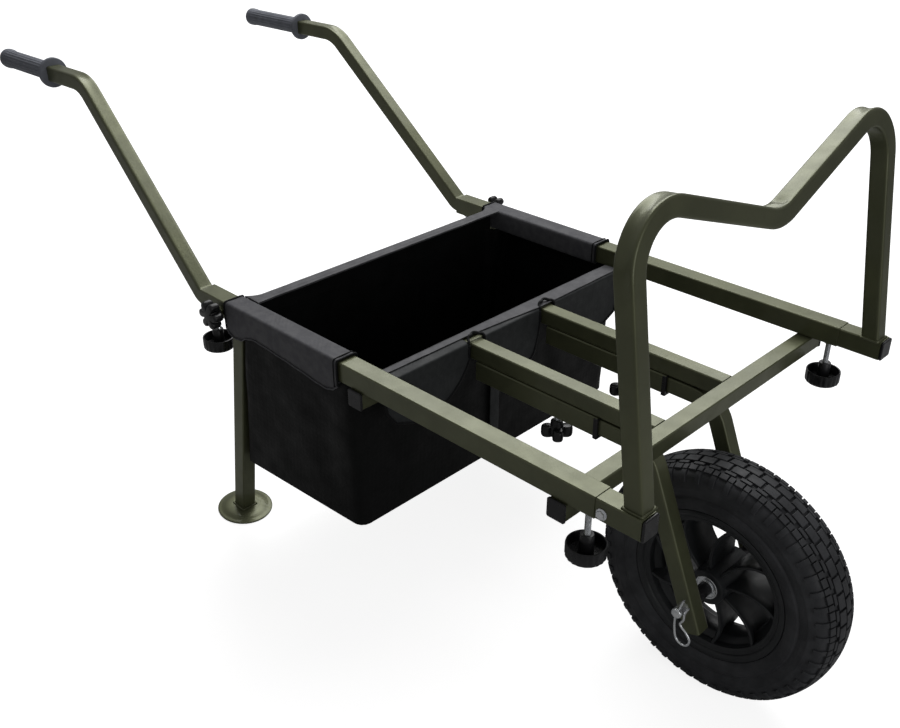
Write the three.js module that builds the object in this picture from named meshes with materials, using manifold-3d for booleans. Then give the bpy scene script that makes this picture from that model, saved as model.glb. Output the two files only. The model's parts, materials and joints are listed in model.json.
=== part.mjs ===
// A fishing trolley with one wheel, two handles, a load frame, a soft bag and a leaning front hoop.
// Lengths are millimetres. X runs forward to the wheel, Y to the left side and Z up.
// The frame is drawn in its own plane and then stands on the floor at the stance angle.
import * as THREE from "three";
import { mergeVertices } from "three/addons/utils/BufferGeometryUtils.js";
import Module from "manifold-3d";

const wasm = await Module();
wasm.setup();

// Angles
const degree = Math.PI / 180;
const quarterTurn = Math.PI / 2;
const halfTurn = Math.PI;
const fullTurn = 2 * Math.PI;
const stance = 4.5 * degree;
const bendFacet = 15 * degree;

// Clearances and overruns
const seat = 0.3;
const slideClearance = 0.5;
const boltClearance = 0.3;
const overrun = 6;
const bury = 0.6;
const edgeBreak = 1.2;

// Tube stock: the smaller tube slides in the larger one
const railSide = 30;
const railWall = 2;
const railCorner = 2.5;
const tubeSide = railSide - 2 * (railWall + slideClearance);
const tubeWall = 1.5;
const tubeCorner = 2.5;

// Load frame
const frameWidth = 600;
const railLength = 768;
const crossFrontSetback = 38;
const crossPitch = 350;
const innerRailPitch = 160;
const receiverFrontSetback = 150;
const receiverLength = 222;
const capFlange = 4;
const capProud = 1;
const capBevel = 1;
const capPlug = 14;
const capPlugClearance = 0.4;
const collarWall = 1.6;
const collarLip = 1.8;
const collarSkirt = 5;

// Clamping knobs, studs and their welded nuts
const studRadius = 4;
const studClearance = 0.35;
const studSides = 8;
const nutAcross = 14;
const nutHeight = 5;
const frontKnobSetback = 17;
const rearKnobInset = 16;
const cupRadius = 25;
const cupHeight = 20;
const cupWall = 2.6;
const cupFloor = 5;
const cupBevel = 3;
const cupFluteDepth = 1.1;
const cupFlutes = 9;
const cupDrop = 50;
const bossRadius = 9;
const bossSides = 10;
const bossAbove = 13;
const bossSocket = 12;
const starRadius = 22.5;
const starRoot = 11.5;
const starThickness = 22;
const starBevel = 2;
const starLobeShare = 0.62;
const starSocket = 12;
const starFacets = 24;
const starNeckRadius = 8;
const forkStarLobes = 4;
const forkStarNeck = 6;
const forkStarDrop = 18;
const forkStarSetback = 228;
const sideStarLobes = 6;
const sideStarGap = 7;
const sideStarInset = 57;
const sideStarBelow = 17;

// Front hoop, leaning back
const hoopLean = 8.6 * degree;
const hoopAhead = 45.5;
const hoopTrackInset = 19;
const hoopCornerHeight = 343.8;
const hoopDip = 19 * degree;
const hoopBend = 60;
const hoopDipBend = 70;
const stubSide = 28;
const stubLength = 62;
const plugDepth = 120;
const hoopBoltAhead = 10;
const hoopBoltBelow = 18;
const boltRadius = 3;
const boltAcross = 10;
const boltHead = 4;
const boltWasher = 7.5;
const boltWasherThick = 1.2;
const boltSides = 12;
const boltShank = 9;

// Handles and grips
const handleInsert = 150;
const handleCornerBack = 8;
const handleFirstBend = 22;
const handleTopBack = 327;
const handleTopRise = 270;
const handleTopIn = 17.4;
const handleTopBend = 60;
const handleRunBack = 104;
const handleEndDrop = 4;
const gripLength = 174;
const gripRadius = 15.5;
const gripEndRadius = 16.8;
const gripEndLength = 16;
const gripEndWall = 4;
const gripRibs = 10;
const gripRibDepth = 0.9;
const gripFlangeRadius = 25;
const gripFlangeThick = 8;
const gripFlangeBevel = 2;
const spigotRadius = 12;
const spigotRoot = 10;
const spigotSides = 12;

// Legs and feet
const legKnobGap = 35.5;
const legLean = 8.6 * degree;
const legTrackInset = 17;
const footRadius = 46;
const footRim = 3.2;
const footCrown = 8;
const footCollar = 22;
const footSides = 20;

// Fork and axle
const axleAhead = 13.4;
const axleDrop = 282.6;
const forkBendSetback = 75;
const forkBendRadius = 50;
const forkInsert = 180;
const forkTail = 42;
const axleRadius = 7.5;
const axleEndPast = 20;
const axleHeadRadius = 12;
const axleHeadThick = 5;
const axleSides = 16;
const spacerRadius = 10;
const clipWire = 1.6;
const clipHolePast = 14;
const clipHoleClearance = 0.4;
const clipLoop = 44;
const clipSteps = 30;

// The clip's wire in the plane across the axle's end, as shares of the loop's length
const clipRouteShares = [
  [0.15, 0.53],
  [0.07, 0.25],
  [0, 0],
  [-0.06, -0.21],
  [-0.06, -0.5],
  [-0.02, -0.8],
  [0.06, -1.03],
  [0.25, -1.14],
  [0.45, -1.06],
  [0.51, -0.84],
  [0.38, -0.64],
  [0.13, -0.42],
  [0.22, -0.2],
  [0.23, 0.02],
  [0.27, 0.17],
  [0.34, 0.34],
];

// Wheel
const tyreRadius = 183.5;
const tyreHalfWidth = 41.5;
const beadHalfWidth = 31.4;
const beadThick = 10;
const wallThick = 5;
const wallSpan = 11;
const crownThick = 12;
const treadDepth = 3.6;
const treadPitches = 48;
const treadGroove = 3;
const lugShare = 0.38;
const blockStaggerShare = 0.5;
const crownFall = 11;
const shoulderShare = 0.86;
const bulgeShare = 0.97;
const tyreSection = 66.9;
const rimRadius = tyreRadius - tyreSection;
const rimHalfWidth = 36.5;
const rimWall = 4.2;
const flangeDepth = 14.8;
const rimSeat = rimRadius - flangeDepth;
const wellDepth = 9.8;
const rimWell = rimSeat - wellDepth;
const beadGap = 0.6;
const beadRadius = rimSeat + beadGap;
const rimLipShare = 0.4;
const rimWellShare = 0.3;
const rimShoulderShare = 0.52;
const rimFacets = 32;
const hubRadius = 26.5;
const hubHalfWidth = 39;
const hubBore = 9;
const hubFacets = 16;
const bladeCount = 9;
const bladeThick = 4.4;
const bladeHalfDepth = 23;
const bladeCurl = 13 * degree;
const bladeTwist = 9 * degree;
const bladeStart = 88 * degree;
const bladeStations = 4;
const bearingRadius = 17.5;
const bearingWidth = 11;
const bearingShield = 1.4;
const bearingRace = 3;
const bearingClearance = 0.1;
const innerTubeGap = 2.2;
const innerTubeHalfWidth = 24;
const innerTubeFacets = 16;
const innerTubeSides = 6;
const valveRadius = 4;
const valveLength = 24;
const valveBay = 3;

// Bag, hung in the frame behind the rear cross tube
const sleevePastLeg = 5.5;
const sleeveFrontGap = 23;
const sleeveCloth = 2.7;
const legNotch = 2.5;
const bagCloth = 3;
const bagFrontDrop = 274;
const bagRearDrop = 288;
const bagSag = 12;
const bagMiddleShare = 0.5;
const bagMiddleSagShare = 0.8;
const bagPanelIn = 3;
const bagPanelTaper = 7;
const bagRearLean = 11;
const bagFrontGap = 1;
const bagCornerFront = 16;
const bagCornerRear = 12;
const bagLegGap = 5;
const bagPanelLean = 22;
const hemDepth = 21;
const hemThick = 5;
const hemSideGap = 5;
const flapDrop = 27;
const flapSideGap = 5;

// Finishes: powder-coated steel, moulded plastics, zinc-plated steel, rubber and coated cloth
const olive = new THREE.MeshStandardMaterial({ color: 0x5d6248, roughness: 0.42, metalness: 0.25 });
const blackPlastic = new THREE.MeshStandardMaterial({ color: 0x161618, roughness: 0.35, metalness: 0 });
const gripRubber = new THREE.MeshStandardMaterial({ color: 0x3a3a42, roughness: 0.7, metalness: 0 });
const zinc = new THREE.MeshStandardMaterial({ color: 0xc9cccf, roughness: 0.28, metalness: 1 });
const tyreRubber = new THREE.MeshStandardMaterial({ color: 0x1a1a1c, roughness: 0.82, metalness: 0 });
const rimPlastic = new THREE.MeshStandardMaterial({ color: 0x131314, roughness: 0.5, metalness: 0 });
const bagFabric = new THREE.MeshStandardMaterial({ color: 0x1c1c1f, roughness: 0.85, metalness: 0 });

// Frame places that several pieces share
const railHalf = railSide / 2;
const tubeHalf = tubeSide / 2;
const railTrack = (frameWidth - railSide) / 2;
const crossTop = -(railSide + seat);
const crossBottom = crossTop - tubeSide;
const crossFrontX = -(crossFrontSetback + tubeHalf);
const crossRearX = crossFrontX - crossPitch;
const innerTrack = innerRailPitch / 2;
const receiverZ = crossBottom - seat - railHalf;
const knobTopZ = -(railSide + cupDrop);
const rearKnobX = -(railLength - rearKnobInset);
const sideStarX = -(railLength - sideStarInset);
const legX = rearKnobX + cupRadius + legKnobGap + tubeHalf;
const sides = [["left", 1], ["right", -1]];

const trolley = new THREE.Group();
const chassis = new THREE.Group();
chassis.rotation.y = -stance;
const lift = tyreRadius - axleAhead * Math.sin(stance) + axleDrop * Math.cos(stance);
chassis.position.z = lift;
chassis.updateMatrix();
trolley.add(chassis);

// A closed geometry as a solid, and a solid as a geometry
function solid(geometry) {
  const bare = geometry.clone();
  bare.deleteAttribute("normal");
  bare.deleteAttribute("uv");
  const merged = mergeVertices(bare);
  return new wasm.Manifold(new wasm.Mesh({
    numProp: 3,
    vertProperties: new Float32Array(merged.attributes.position.array),
    triVerts: new Uint32Array(merged.index.array),
  }));
}

function shape(body) {
  const mesh = body.getMesh();
  const geometry = new THREE.BufferGeometry();
  geometry.setAttribute("position", new THREE.BufferAttribute(mesh.vertProperties, 3));
  geometry.setIndex(new THREE.BufferAttribute(mesh.triVerts, 1));
  const faceted = geometry.toNonIndexed();
  faceted.computeVertexNormals();
  return faceted;
}

function join(geometries) {
  return shape(geometries.map(solid).reduce((whole, next) => whole.add(next)));
}

function cut(geometry, tools) {
  return shape(tools.map(solid).reduce((whole, tool) => whole.subtract(tool), solid(geometry)));
}

function piece(name, geometry, material, parent = chassis) {
  const mesh = new THREE.Mesh(geometry, material);
  mesh.name = name;
  parent.add(mesh);
  return mesh;
}

function at(geometry, x, y, z) {
  return geometry.clone().translate(x, y, z);
}

function block(x0, x1, y0, y1, z0, z1) {
  const box = new THREE.BoxGeometry(x1 - x0, y1 - y0, z1 - z0);
  return box.translate((x0 + x1) / 2, (y0 + y1) / 2, (z0 + z1) / 2);
}

// Cylinders along Z and along Y, standing on their start
function rodZ(radius, length, facets) {
  const rod = new THREE.CylinderGeometry(radius, radius, length, facets);
  return rod.rotateX(quarterTurn).translate(0, 0, length / 2);
}

function rodY(radius, length, facets) {
  return new THREE.CylinderGeometry(radius, radius, length, facets).translate(0, length / 2, 0);
}

// A profile of [radius, height] points turned about Z or about Y
function turned(profile, facets) {
  return new THREE.LatheGeometry(profile.map(([r, h]) => new THREE.Vector2(r, h)), facets);
}

function turnedZ(profile, facets) {
  return turned(profile, facets).rotateX(quarterTurn);
}

// A square whose corners are cut tangent to their radius, with a square bore where a wall is given
function square(side, corner, wall) {
  const half = side / 2;
  const flat = half - corner * (2 - Math.SQRT2);
  const corners = [[half, flat], [flat, half], [-flat, half], [-half, flat]];
  const outline = new THREE.Shape([...corners, ...corners.map(([x, y]) => [-x, -y])]
    .map(([x, y]) => new THREE.Vector2(x, y)));
  if (wall) {
    const inner = half - wall;
    const bore = [[-inner, -inner], [-inner, inner], [inner, inner], [inner, -inner]];
    outline.holes.push(new THREE.Path(bore.map(([x, y]) => new THREE.Vector2(x, y))));
  }
  return outline;
}

// A path of straight runs and round bends, with stations only where a tube needs them
class BentPath extends THREE.Curve {
  constructor(corners, radii = []) {
    super();
    this.stations = [];
    const points = corners.map((corner) => new THREE.Vector3(...corner));
    const last = points.length - 1;
    const run = (i) => points[i + 1].clone().sub(points[i]).normalize();
    this.stations.push({ point: points[0], tangent: run(0) });
    for (let i = 1; i < last; i += 1) {
      const before = run(i - 1);
      const after = run(i);
      const angle = before.angleTo(after);
      const radius = radii[i - 1];
      const axis = before.clone().cross(after).normalize();
      const start = points[i].clone().addScaledVector(before, -radius * Math.tan(angle / 2));
      const centre = start.clone().addScaledVector(axis.clone().cross(before), radius);
      const facets = Math.max(2, Math.round(angle / bendFacet));
      for (let k = 0; k <= facets; k += 1) {
        const turn = (angle * k) / facets;
        const point = start.clone().sub(centre).applyAxisAngle(axis, turn).add(centre);
        this.stations.push({ point, tangent: before.clone().applyAxisAngle(axis, turn) });
      }
    }
    this.stations.push({ point: points[last], tangent: run(last - 1) });
  }
  get steps() {
    return this.stations.length - 1;
  }
  getPoint(share, target = new THREE.Vector3()) {
    return target.copy(this.stations[Math.round(share * this.steps)].point);
  }
  getPointAt(share, target) {
    return this.getPoint(share, target);
  }
  getTangentAt(share, target = new THREE.Vector3()) {
    return target.copy(this.stations[Math.round(share * this.steps)].tangent);
  }
}

function bentTube(corners, radii, side = tubeSide, corner = tubeCorner, wall = tubeWall) {
  const path = new BentPath(corners, radii);
  return new THREE.ExtrudeGeometry(square(side, corner, wall), {
    curveSegments: 1,
    steps: path.steps,
    extrudePath: path,
  });
}

// A hexagonal nut standing on Z = 0, to be welded over a hole
function nutSolid() {
  const radius = nutAcross / Math.sqrt(3);
  return rodZ(radius, nutHeight, 6);
}

function studHole(length) {
  return rodZ(studRadius + studClearance, length, studSides);
}

// Side rails, each with a welded nut and a hole for every stud that clamps a tube in it
function sideRail(side) {
  const tube = bentTube([[0, 0, -railHalf], [-railLength, 0, -railHalf]], [], railSide, railCorner, railWall);
  const below = -(railSide + nutHeight);
  const places = [-frontKnobSetback, rearKnobX];
  const nuts = places.map((x) => at(nutSolid(), x, 0, below + bury));
  const holes = places.map((x) => at(studHole(nutHeight + railWall + 2 * overrun), x, 0, below - overrun));
  const outward = side > 0 ? -quarterTurn : quarterTurn;
  const sideNut = at(nutSolid().rotateX(outward), sideStarX, side * (railHalf - bury), -sideStarBelow);
  const sideBore = studHole(nutHeight + 2 * overrun).rotateX(outward);
  const sideHole = at(sideBore, sideStarX, side * (railHalf - overrun), -sideStarBelow);
  return cut(join([tube, ...nuts, sideNut]), [...holes, sideHole]);
}

for (const [hand, side] of sides) {
  piece(`rail_${hand}`, sideRail(side), olive).position.y = side * railTrack;
}

// Cross tubes under the rails, closed by plastic caps
function crossTube() {
  const reach = frameWidth / 2;
  return bentTube([[0, -reach, 0], [0, reach, 0]], []);
}

function tubeCap(plateSide) {
  const plugHalf = tubeHalf - tubeWall - capPlugClearance;
  const plate = new THREE.ExtrudeGeometry(square(plateSide - 2 * capBevel, tubeCorner), {
    curveSegments: 1,
    depth: capFlange - 2 * capBevel,
    bevelThickness: capBevel,
    bevelSize: capBevel,
    bevelSegments: 1,
  }).translate(0, 0, capBevel);
  return join([plate, block(-plugHalf, plugHalf, -plugHalf, plugHalf, -capPlug, bury)]);
}

const crossPlaces = [["front", crossFrontX], ["rear", crossRearX]];
for (const [end, x] of crossPlaces) {
  piece(`cross_tube_${end}`, crossTube(), olive).position.set(x, 0, crossTop - tubeHalf);
  for (const [hand, side] of sides) {
    const cap = piece(`cross_cap_${end}_${hand}`, tubeCap(tubeSide + 2 * capProud), blackPlastic);
    cap.rotation.x = -side * quarterTurn;
    cap.position.set(x, side * (frameWidth / 2 + seat), crossTop - tubeHalf);
  }
}

// Inner rails between the cross tubes, with a receiver for each fork arm under them
function receiverTube() {
  const tube = bentTube([[0, 0, 0], [-receiverLength, 0, 0]], [], railSide, railCorner, railWall);
  const x = -(forkStarSetback - receiverFrontSetback);
  const below = -(railHalf + nutHeight);
  const nut = at(nutSolid(), x, 0, below + bury);
  return cut(join([tube, nut]), [at(studHole(nutHeight + railWall + 2 * overrun), x, 0, below - overrun)]);
}

function receiverCollar() {
  const outer = railSide + 2 * (seat + collarWall);
  const half = outer / 2;
  const body = block(-collarSkirt, collarLip, -half, half, -half, railHalf);
  const socket = railHalf + seat;
  const mouth = tubeHalf + seat;
  return cut(body, [
    block(-collarSkirt - overrun, 0, -socket, socket, -socket, socket + overrun),
    block(-overrun, collarLip + overrun, -mouth, mouth, -mouth, mouth),
  ]);
}

for (const [hand, side] of sides) {
  const railGap = tubeHalf + seat;
  const inner = bentTube([[crossFrontX - railGap, 0, 0], [crossRearX + railGap, 0, 0]], []);
  piece(`inner_rail_${hand}`, inner, olive).position.set(0, side * innerTrack, crossTop - tubeHalf);
  const receiver = piece(`receiver_${hand}`, receiverTube(), olive);
  receiver.position.set(-receiverFrontSetback, side * innerTrack, receiverZ);
  const collar = piece(`receiver_collar_${hand}`, receiverCollar(), blackPlastic);
  collar.position.set(-receiverFrontSetback + seat, side * innerTrack, receiverZ);
}

// Fork arms: straight in the receivers, then bent down and forward to the axle
const forkDown = axleDrop + receiverZ;
const forkLean = Math.atan2(forkBendSetback + axleAhead, forkDown);
const forkAcross = innerTrack + tubeHalf;

function forkArm() {
  const tailX = axleAhead + forkTail * Math.sin(forkLean);
  const tailZ = -forkDown - forkTail * Math.cos(forkLean);
  const route = [[-(receiverFrontSetback + forkInsert), 0, 0], [-forkBendSetback, 0, 0], [tailX, 0, tailZ]];
  const tube = bentTube(route, [forkBendRadius]);
  const lid = block(-tubeHalf + tubeWall / 2, tubeHalf - tubeWall / 2, -tubeHalf + tubeWall / 2,
    tubeHalf - tubeWall / 2, 0, tubeWall);
  lid.rotateY(-forkLean);
  lid.translate(tailX, 0, tailZ);
  const hole = rodY(axleRadius + boltClearance, tubeSide + 2 * overrun, axleSides);
  return cut(join([tube, lid]), [at(hole, axleAhead, -(tubeHalf + overrun), -forkDown)]);
}

for (const [hand, side] of sides) {
  piece(`fork_arm_${hand}`, forkArm(), olive).position.set(0, side * innerTrack, receiverZ);
}

// Axle: a head outside the left arm, and a cross hole outside the right arm for the clip
function axlePin() {
  const end = -(forkAcross + axleEndPast);
  const head = forkAcross + seat;
  const pin = turned([
    [0, end],
    [axleRadius - edgeBreak, end],
    [axleRadius, end + edgeBreak],
    [axleRadius, head],
    [axleHeadRadius, head],
    [axleHeadRadius, head + axleHeadThick - edgeBreak],
    [axleHeadRadius - edgeBreak, head + axleHeadThick],
    [0, head + axleHeadThick],
  ], axleSides);
  const hole = rodZ(clipWire + clipHoleClearance, 2 * (axleRadius + overrun), studSides);
  hole.translate(0, 0, -(axleRadius + overrun));
  const [tipX, tipZ] = clipRouteShares[0];
  hole.rotateY(Math.atan2(tipX, tipZ));
  return cut(pin, [at(hole, 0, -(forkAcross + clipHolePast), 0)]);
}

function clipWireShape() {
  const points = clipRouteShares.map(([x, z]) => new THREE.Vector3(x * clipLoop, 0, z * clipLoop));
  const section = new THREE.Shape();
  section.absarc(0, 0, clipWire, 0, fullTurn);
  return new THREE.ExtrudeGeometry(section, {
    curveSegments: 3,
    steps: clipSteps,
    extrudePath: new THREE.CatmullRomCurve3(points),
  });
}

const wheelCentre = [axleAhead, 0, -axleDrop];
piece("axle", axlePin(), zinc).position.set(...wheelCentre);
const clip = piece("axle_clip", clipWireShape(), zinc);
clip.position.set(axleAhead, -(forkAcross + clipHolePast), -axleDrop);

for (const [hand, side] of sides) {
  const start = hubHalfWidth + 2 * seat;
  const length = innerTrack - tubeHalf - seat - start;
  const bore = axleRadius + bearingClearance;
  const corners = [[spacerRadius, 0], [spacerRadius, length], [bore, length], [bore, 0], [spacerRadius, 0]];
  const spacer = piece(`axle_spacer_${hand}`, turned(corners, axleSides), blackPlastic);
  spacer.position.set(axleAhead, side > 0 ? start : -(start + length), -axleDrop);
}

// Rim: a flanged barrel, a hub with two bearing pockets, and curled, twisted blades between them
function rimBarrel() {
  const lip = rimWall * rimLipShare;
  const shoulder = rimHalfWidth * rimShoulderShare;
  const half = [
    [rimWell, rimHalfWidth * rimWellShare],
    [rimSeat, shoulder],
    [rimSeat, beadHalfWidth],
    [rimRadius, beadHalfWidth + lip],
    [rimRadius - lip, rimHalfWidth],
    [rimSeat - rimWall, rimHalfWidth],
    [rimSeat - rimWall, shoulder],
    [rimWell - rimWall, rimHalfWidth * rimWellShare],
  ];
  const mirrored = half.map(([r, y]) => [r, -y]).reverse();
  return turned([...half, ...mirrored, half[0]], rimFacets);
}

function rimHub() {
  const pocket = bearingRadius + bearingClearance;
  const step = hubHalfWidth - bearingWidth;
  const half = [
    [hubRadius, step],
    [hubRadius - edgeBreak, hubHalfWidth],
    [pocket, hubHalfWidth],
    [pocket, step],
    [hubBore, step],
  ];
  const mirrored = half.map(([r, y]) => [r, -y]).reverse();
  return turned([...half, ...mirrored, half[0]], hubFacets);
}

function rimBlade() {
  const reach = rimWell - rimWall - hubRadius + 2 * bury;
  const edge = (half) => Array.from({ length: bladeStations }, (_, k) => {
    const share = k / (bladeStations - 1);
    const radius = hubRadius - bury + share * reach;
    const angle = -bladeCurl * share * share;
    const [along, across] = [Math.cos(angle), Math.sin(angle)];
    return [radius * along - half * across, radius * across + half * along];
  });
  const outline = [...edge(-bladeThick / 2), ...edge(bladeThick / 2).reverse()];
  const section = new THREE.Shape(outline.map(([x, z]) => new THREE.Vector2(x, z)));
  const blade = new THREE.ExtrudeGeometry(section, {
    depth: 2 * bladeHalfDepth,
    bevelEnabled: false,
  });
  blade.translate(0, 0, -bladeHalfDepth).rotateX(quarterTurn);
  const place = blade.attributes.position;
  for (let i = 0; i < place.count; i += 1) {
    const turn = (bladeTwist * place.getY(i)) / bladeHalfDepth;
    const point = new THREE.Vector3().fromBufferAttribute(place, i);
    point.applyAxisAngle(new THREE.Vector3(0, 1, 0), turn);
    place.setXYZ(i, point.x, point.y, point.z);
  }
  return blade;
}

const valveFoot = rimWell - rimWall - valveLength / 2;
const valveTurn = quarterTurn - bladeStart - (halfTurn * valveBay) / bladeCount;

function rimWhole() {
  const blade = rimBlade();
  const turnOf = (k) => -bladeStart - (fullTurn * k) / bladeCount;
  const blades = Array.from({ length: bladeCount }, (_, k) => blade.clone().rotateY(turnOf(k)));
  const whole = join([rimBarrel(), rimHub(), ...blades]);
  const valveHole = rodZ(valveRadius + boltClearance, valveLength + overrun, studSides);
  return cut(whole, [valveHole.translate(0, 0, valveFoot).rotateY(valveTurn)]);
}

piece("wheel_rim", rimWhole(), rimPlastic).position.set(...wheelCentre);

for (const [hand, side] of sides) {
  const bore = (axleRadius + bearingClearance) / Math.cos(halfTurn / hubFacets);
  const inner = bore + bearingRace;
  const outer = bearingRadius - bearingRace;
  const face = bearingWidth;
  const shield = bearingWidth - bearingShield;
  const ring = turned([
    [bearingRadius, 0],
    [bearingRadius, face],
    [outer, face],
    [outer, shield],
    [inner, shield],
    [inner, face],
    [bore, face],
    [bore, 0],
    [bearingRadius, 0],
  ], hubFacets);
  const bearing = piece(`hub_bearing_${hand}`, ring, zinc);
  bearing.rotation.x = side > 0 ? 0 : halfTurn;
  bearing.position.set(axleAhead, side * (hubHalfWidth - bearingWidth + seat), -axleDrop);
}

// Tyre: an open casing whose crown carries blocks, staggered from side to side
const crownRadius = tyreRadius - treadDepth;
const wallMid = (beadRadius + crownRadius) / 2;

function crownAt(y) {
  const share = y / tyreHalfWidth;
  return crownRadius - crownFall * share * share;
}

function tyreWhole() {
  const pitch = fullTurn / treadPitches;
  const blockHalf = pitch * lugShare;
  const points = [];
  const triangles = [];
  const plainTurns = Array.from({ length: treadPitches }, (_, k) => k * pitch);
  const blockTurns = (stagger) => plainTurns.flatMap((turn) => {
    const middle = turn + pitch * stagger;
    return [middle - blockHalf, middle + blockHalf];
  });

  const ring = (radius, y, turns = plainTurns) => turns.map((turn) => {
    points.push(radius * Math.cos(turn), y, radius * Math.sin(turn));
    return { turn, id: points.length / 3 - 1 };
  });
  const quad = (a, b, c, d) => triangles.push(a.id, c.id, b.id, a.id, d.id, c.id);

  // A band of triangles between two rings, whose points needn't line up
  const stitch = (one, two) => {
    const turnAt = (loop, k) => loop[k % loop.length].turn + (k >= loop.length ? fullTurn : 0);
    let i = 0;
    let j = 0;
    while (i < one.length || j < two.length) {
      const [a, b] = [one[i % one.length], two[j % two.length]];
      if (j === two.length || (i < one.length && turnAt(one, i + 1) <= turnAt(two, j + 1))) {
        i += 1;
        triangles.push(a.id, b.id, one[i % one.length].id);
      } else {
        j += 1;
        triangles.push(a.id, b.id, two[j % two.length].id);
      }
    }
  };

  // Blocks stand between two rings at the crown, with the bare crown showing between them
  const tread = (one, two, topOne, topTwo) => {
    for (let k = 0; k < one.length; k += 2) {
      const next = (k + 2) % one.length;
      quad(one[k], one[k + 1], topOne[k + 1], topOne[k]);
      quad(topOne[k], topOne[k + 1], topTwo[k + 1], topTwo[k]);
      quad(topTwo[k], topTwo[k + 1], two[k + 1], two[k]);
      quad(one[k], topOne[k], topTwo[k], two[k]);
      quad(one[k + 1], two[k + 1], topTwo[k + 1], topOne[k + 1]);
      quad(one[k + 1], one[next], two[next], two[k + 1]);
    }
  };

  const shoulder = tyreHalfWidth * shoulderShare;
  const toRim = rimRadius + 2 * seat;
  const bead = beadHalfWidth - seat;
  const wall = [
    [wallMid + wallSpan, tyreHalfWidth],
    [wallMid - wallSpan, tyreHalfWidth * bulgeShare],
    [toRim, rimHalfWidth],
    [toRim, bead],
    [beadRadius, bead],
    [beadRadius, bead - beadThick],
    [wallMid, tyreHalfWidth - wallThick],
    [crownRadius - crownThick, shoulder - wallThick],
  ];
  const sideRings = (side, stagger) => {
    const turns = blockTurns(stagger);
    const crown = (y, up = 0) => ring(crownAt(y) + up, side * y, turns);
    return {
      inner: crown(treadGroove),
      outer: crown(shoulder),
      topInner: crown(treadGroove, treadDepth),
      topOuter: crown(shoulder, treadDepth),
      wall: wall.map(([radius, y]) => ring(radius, side * y)),
    };
  };
  const left = sideRings(1, blockStaggerShare);
  const right = sideRings(-1, 0);
  const back = [...right.wall].reverse();
  const around = [left.outer, ...left.wall, ...back, right.outer];
  stitch(right.inner, left.inner);
  tread(left.inner, left.outer, left.topInner, left.topOuter);
  around.slice(1).forEach((next, k) => stitch(around[k], next));
  tread(right.outer, right.inner, right.topOuter, right.topInner);

  const geometry = new THREE.BufferGeometry();
  geometry.setAttribute("position", new THREE.Float32BufferAttribute(points, 3));
  geometry.setIndex(triangles);
  return geometry.toNonIndexed();
}

piece("tyre", tyreWhole(), tyreRubber).position.set(...wheelCentre);

// Inner tube with its valve through the rim
function innerTubeWhole() {
  const outerR = crownRadius - crownThick - innerTubeGap;
  const innerR = rimSeat + innerTubeGap;
  const mid = (outerR + innerR) / 2;
  const profile = Array.from({ length: innerTubeSides + 1 }, (_, k) => {
    const turn = (fullTurn * k) / innerTubeSides;
    return [mid + ((outerR - innerR) / 2) * Math.cos(turn), innerTubeHalfWidth * Math.sin(turn)];
  });
  const ring = turned(profile, innerTubeFacets);
  const stem = rodZ(valveRadius, mid - valveFoot, studSides);
  return join([ring, stem.translate(0, 0, valveFoot).rotateY(valveTurn)]);
}

piece("inner_tube", innerTubeWhole(), tyreRubber).position.set(...wheelCentre);

// Front hoop: one bent tube that leans back, welded on two stubs whose plugs slide in the rails
const hoopTrack = frameWidth / 2 - hoopTrackInset;
const stubTop = -(railSide - stubSide) / 2;

function hoopTube() {
  const root = -(tubeSide + overrun);
  const dipHeight = hoopCornerHeight - hoopTrack * Math.tan(hoopDip);
  const route = [
    [0, -hoopTrack, root],
    [0, -hoopTrack, hoopCornerHeight],
    [0, 0, dipHeight],
    [0, hoopTrack, hoopCornerHeight],
    [0, hoopTrack, root],
  ];
  const tube = bentTube(route, [hoopBend, hoopDipBend, hoopBend]);
  tube.rotateY(-hoopLean).translate(hoopAhead, 0, 0);
  const far = frameWidth;
  return cut(tube, [block(-far, far, -far, far, 2 * root, stubTop + seat)]);
}

function hoopStub(side) {
  const stubWall = (stubSide - tubeSide) / 2 + bury;
  const sleeve = bentTube([[seat, 0, 0], [stubLength, 0, 0]], [], stubSide, railCorner, stubWall);
  const plug = bentTube([[-plugDepth, 0, 0], [stubLength, 0, 0]], []);
  const hole = rodY(boltRadius + boltClearance, boltShank + overrun, boltSides);
  hole.translate(0, stubSide / 2 - boltShank, 0).rotateX(side > 0 ? 0 : halfTurn);
  return cut(join([sleeve, plug]), [at(hole, hoopBoltAhead, 0, railHalf - hoopBoltBelow)]);
}

function hexBolt() {
  const washer = rodY(boltWasher, boltWasherThick, boltSides);
  const head = rodY(boltAcross / Math.sqrt(3), boltHead, 6).translate(0, boltWasherThick - bury, 0);
  const shank = rodY(boltRadius, boltShank, boltSides).translate(0, bury - boltShank, 0);
  return join([washer, head, shank]);
}

piece("hoop_bar", hoopTube(), olive);
for (const [hand, side] of sides) {
  piece(`hoop_stub_${hand}`, hoopStub(side), olive).position.set(0, side * railTrack, -railHalf);
  const cap = piece(`stub_cap_${hand}`, tubeCap(stubSide), blackPlastic);
  cap.rotation.y = quarterTurn;
  cap.position.set(stubLength + seat, side * railTrack, -railHalf);
  const bolt = piece(`hoop_bolt_${hand}`, hexBolt(), zinc);
  bolt.rotation.x = side > 0 ? 0 : halfTurn;
  bolt.position.set(hoopBoltAhead, side * (railTrack + stubSide / 2 + seat), -hoopBoltBelow);
}

// Handles: bent tubes that slide in the rails' rear ends, each with a round spigot for its grip
const zAxis = new THREE.Vector3(0, 0, 1);
const handleCorner = new THREE.Vector3(-(railLength + handleCornerBack), 0, -railHalf);
const handleTop = new THREE.Vector3(-(railLength + handleTopBack), 0, handleTopRise - railHalf);
const gripDrop = (handleEndDrop * handleRunBack) / (handleRunBack + gripLength);
const gripStart = handleTop.clone().add(new THREE.Vector3(-handleRunBack, 0, -gripDrop));
const gripWay = gripStart.clone().sub(handleTop).normalize();

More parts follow.
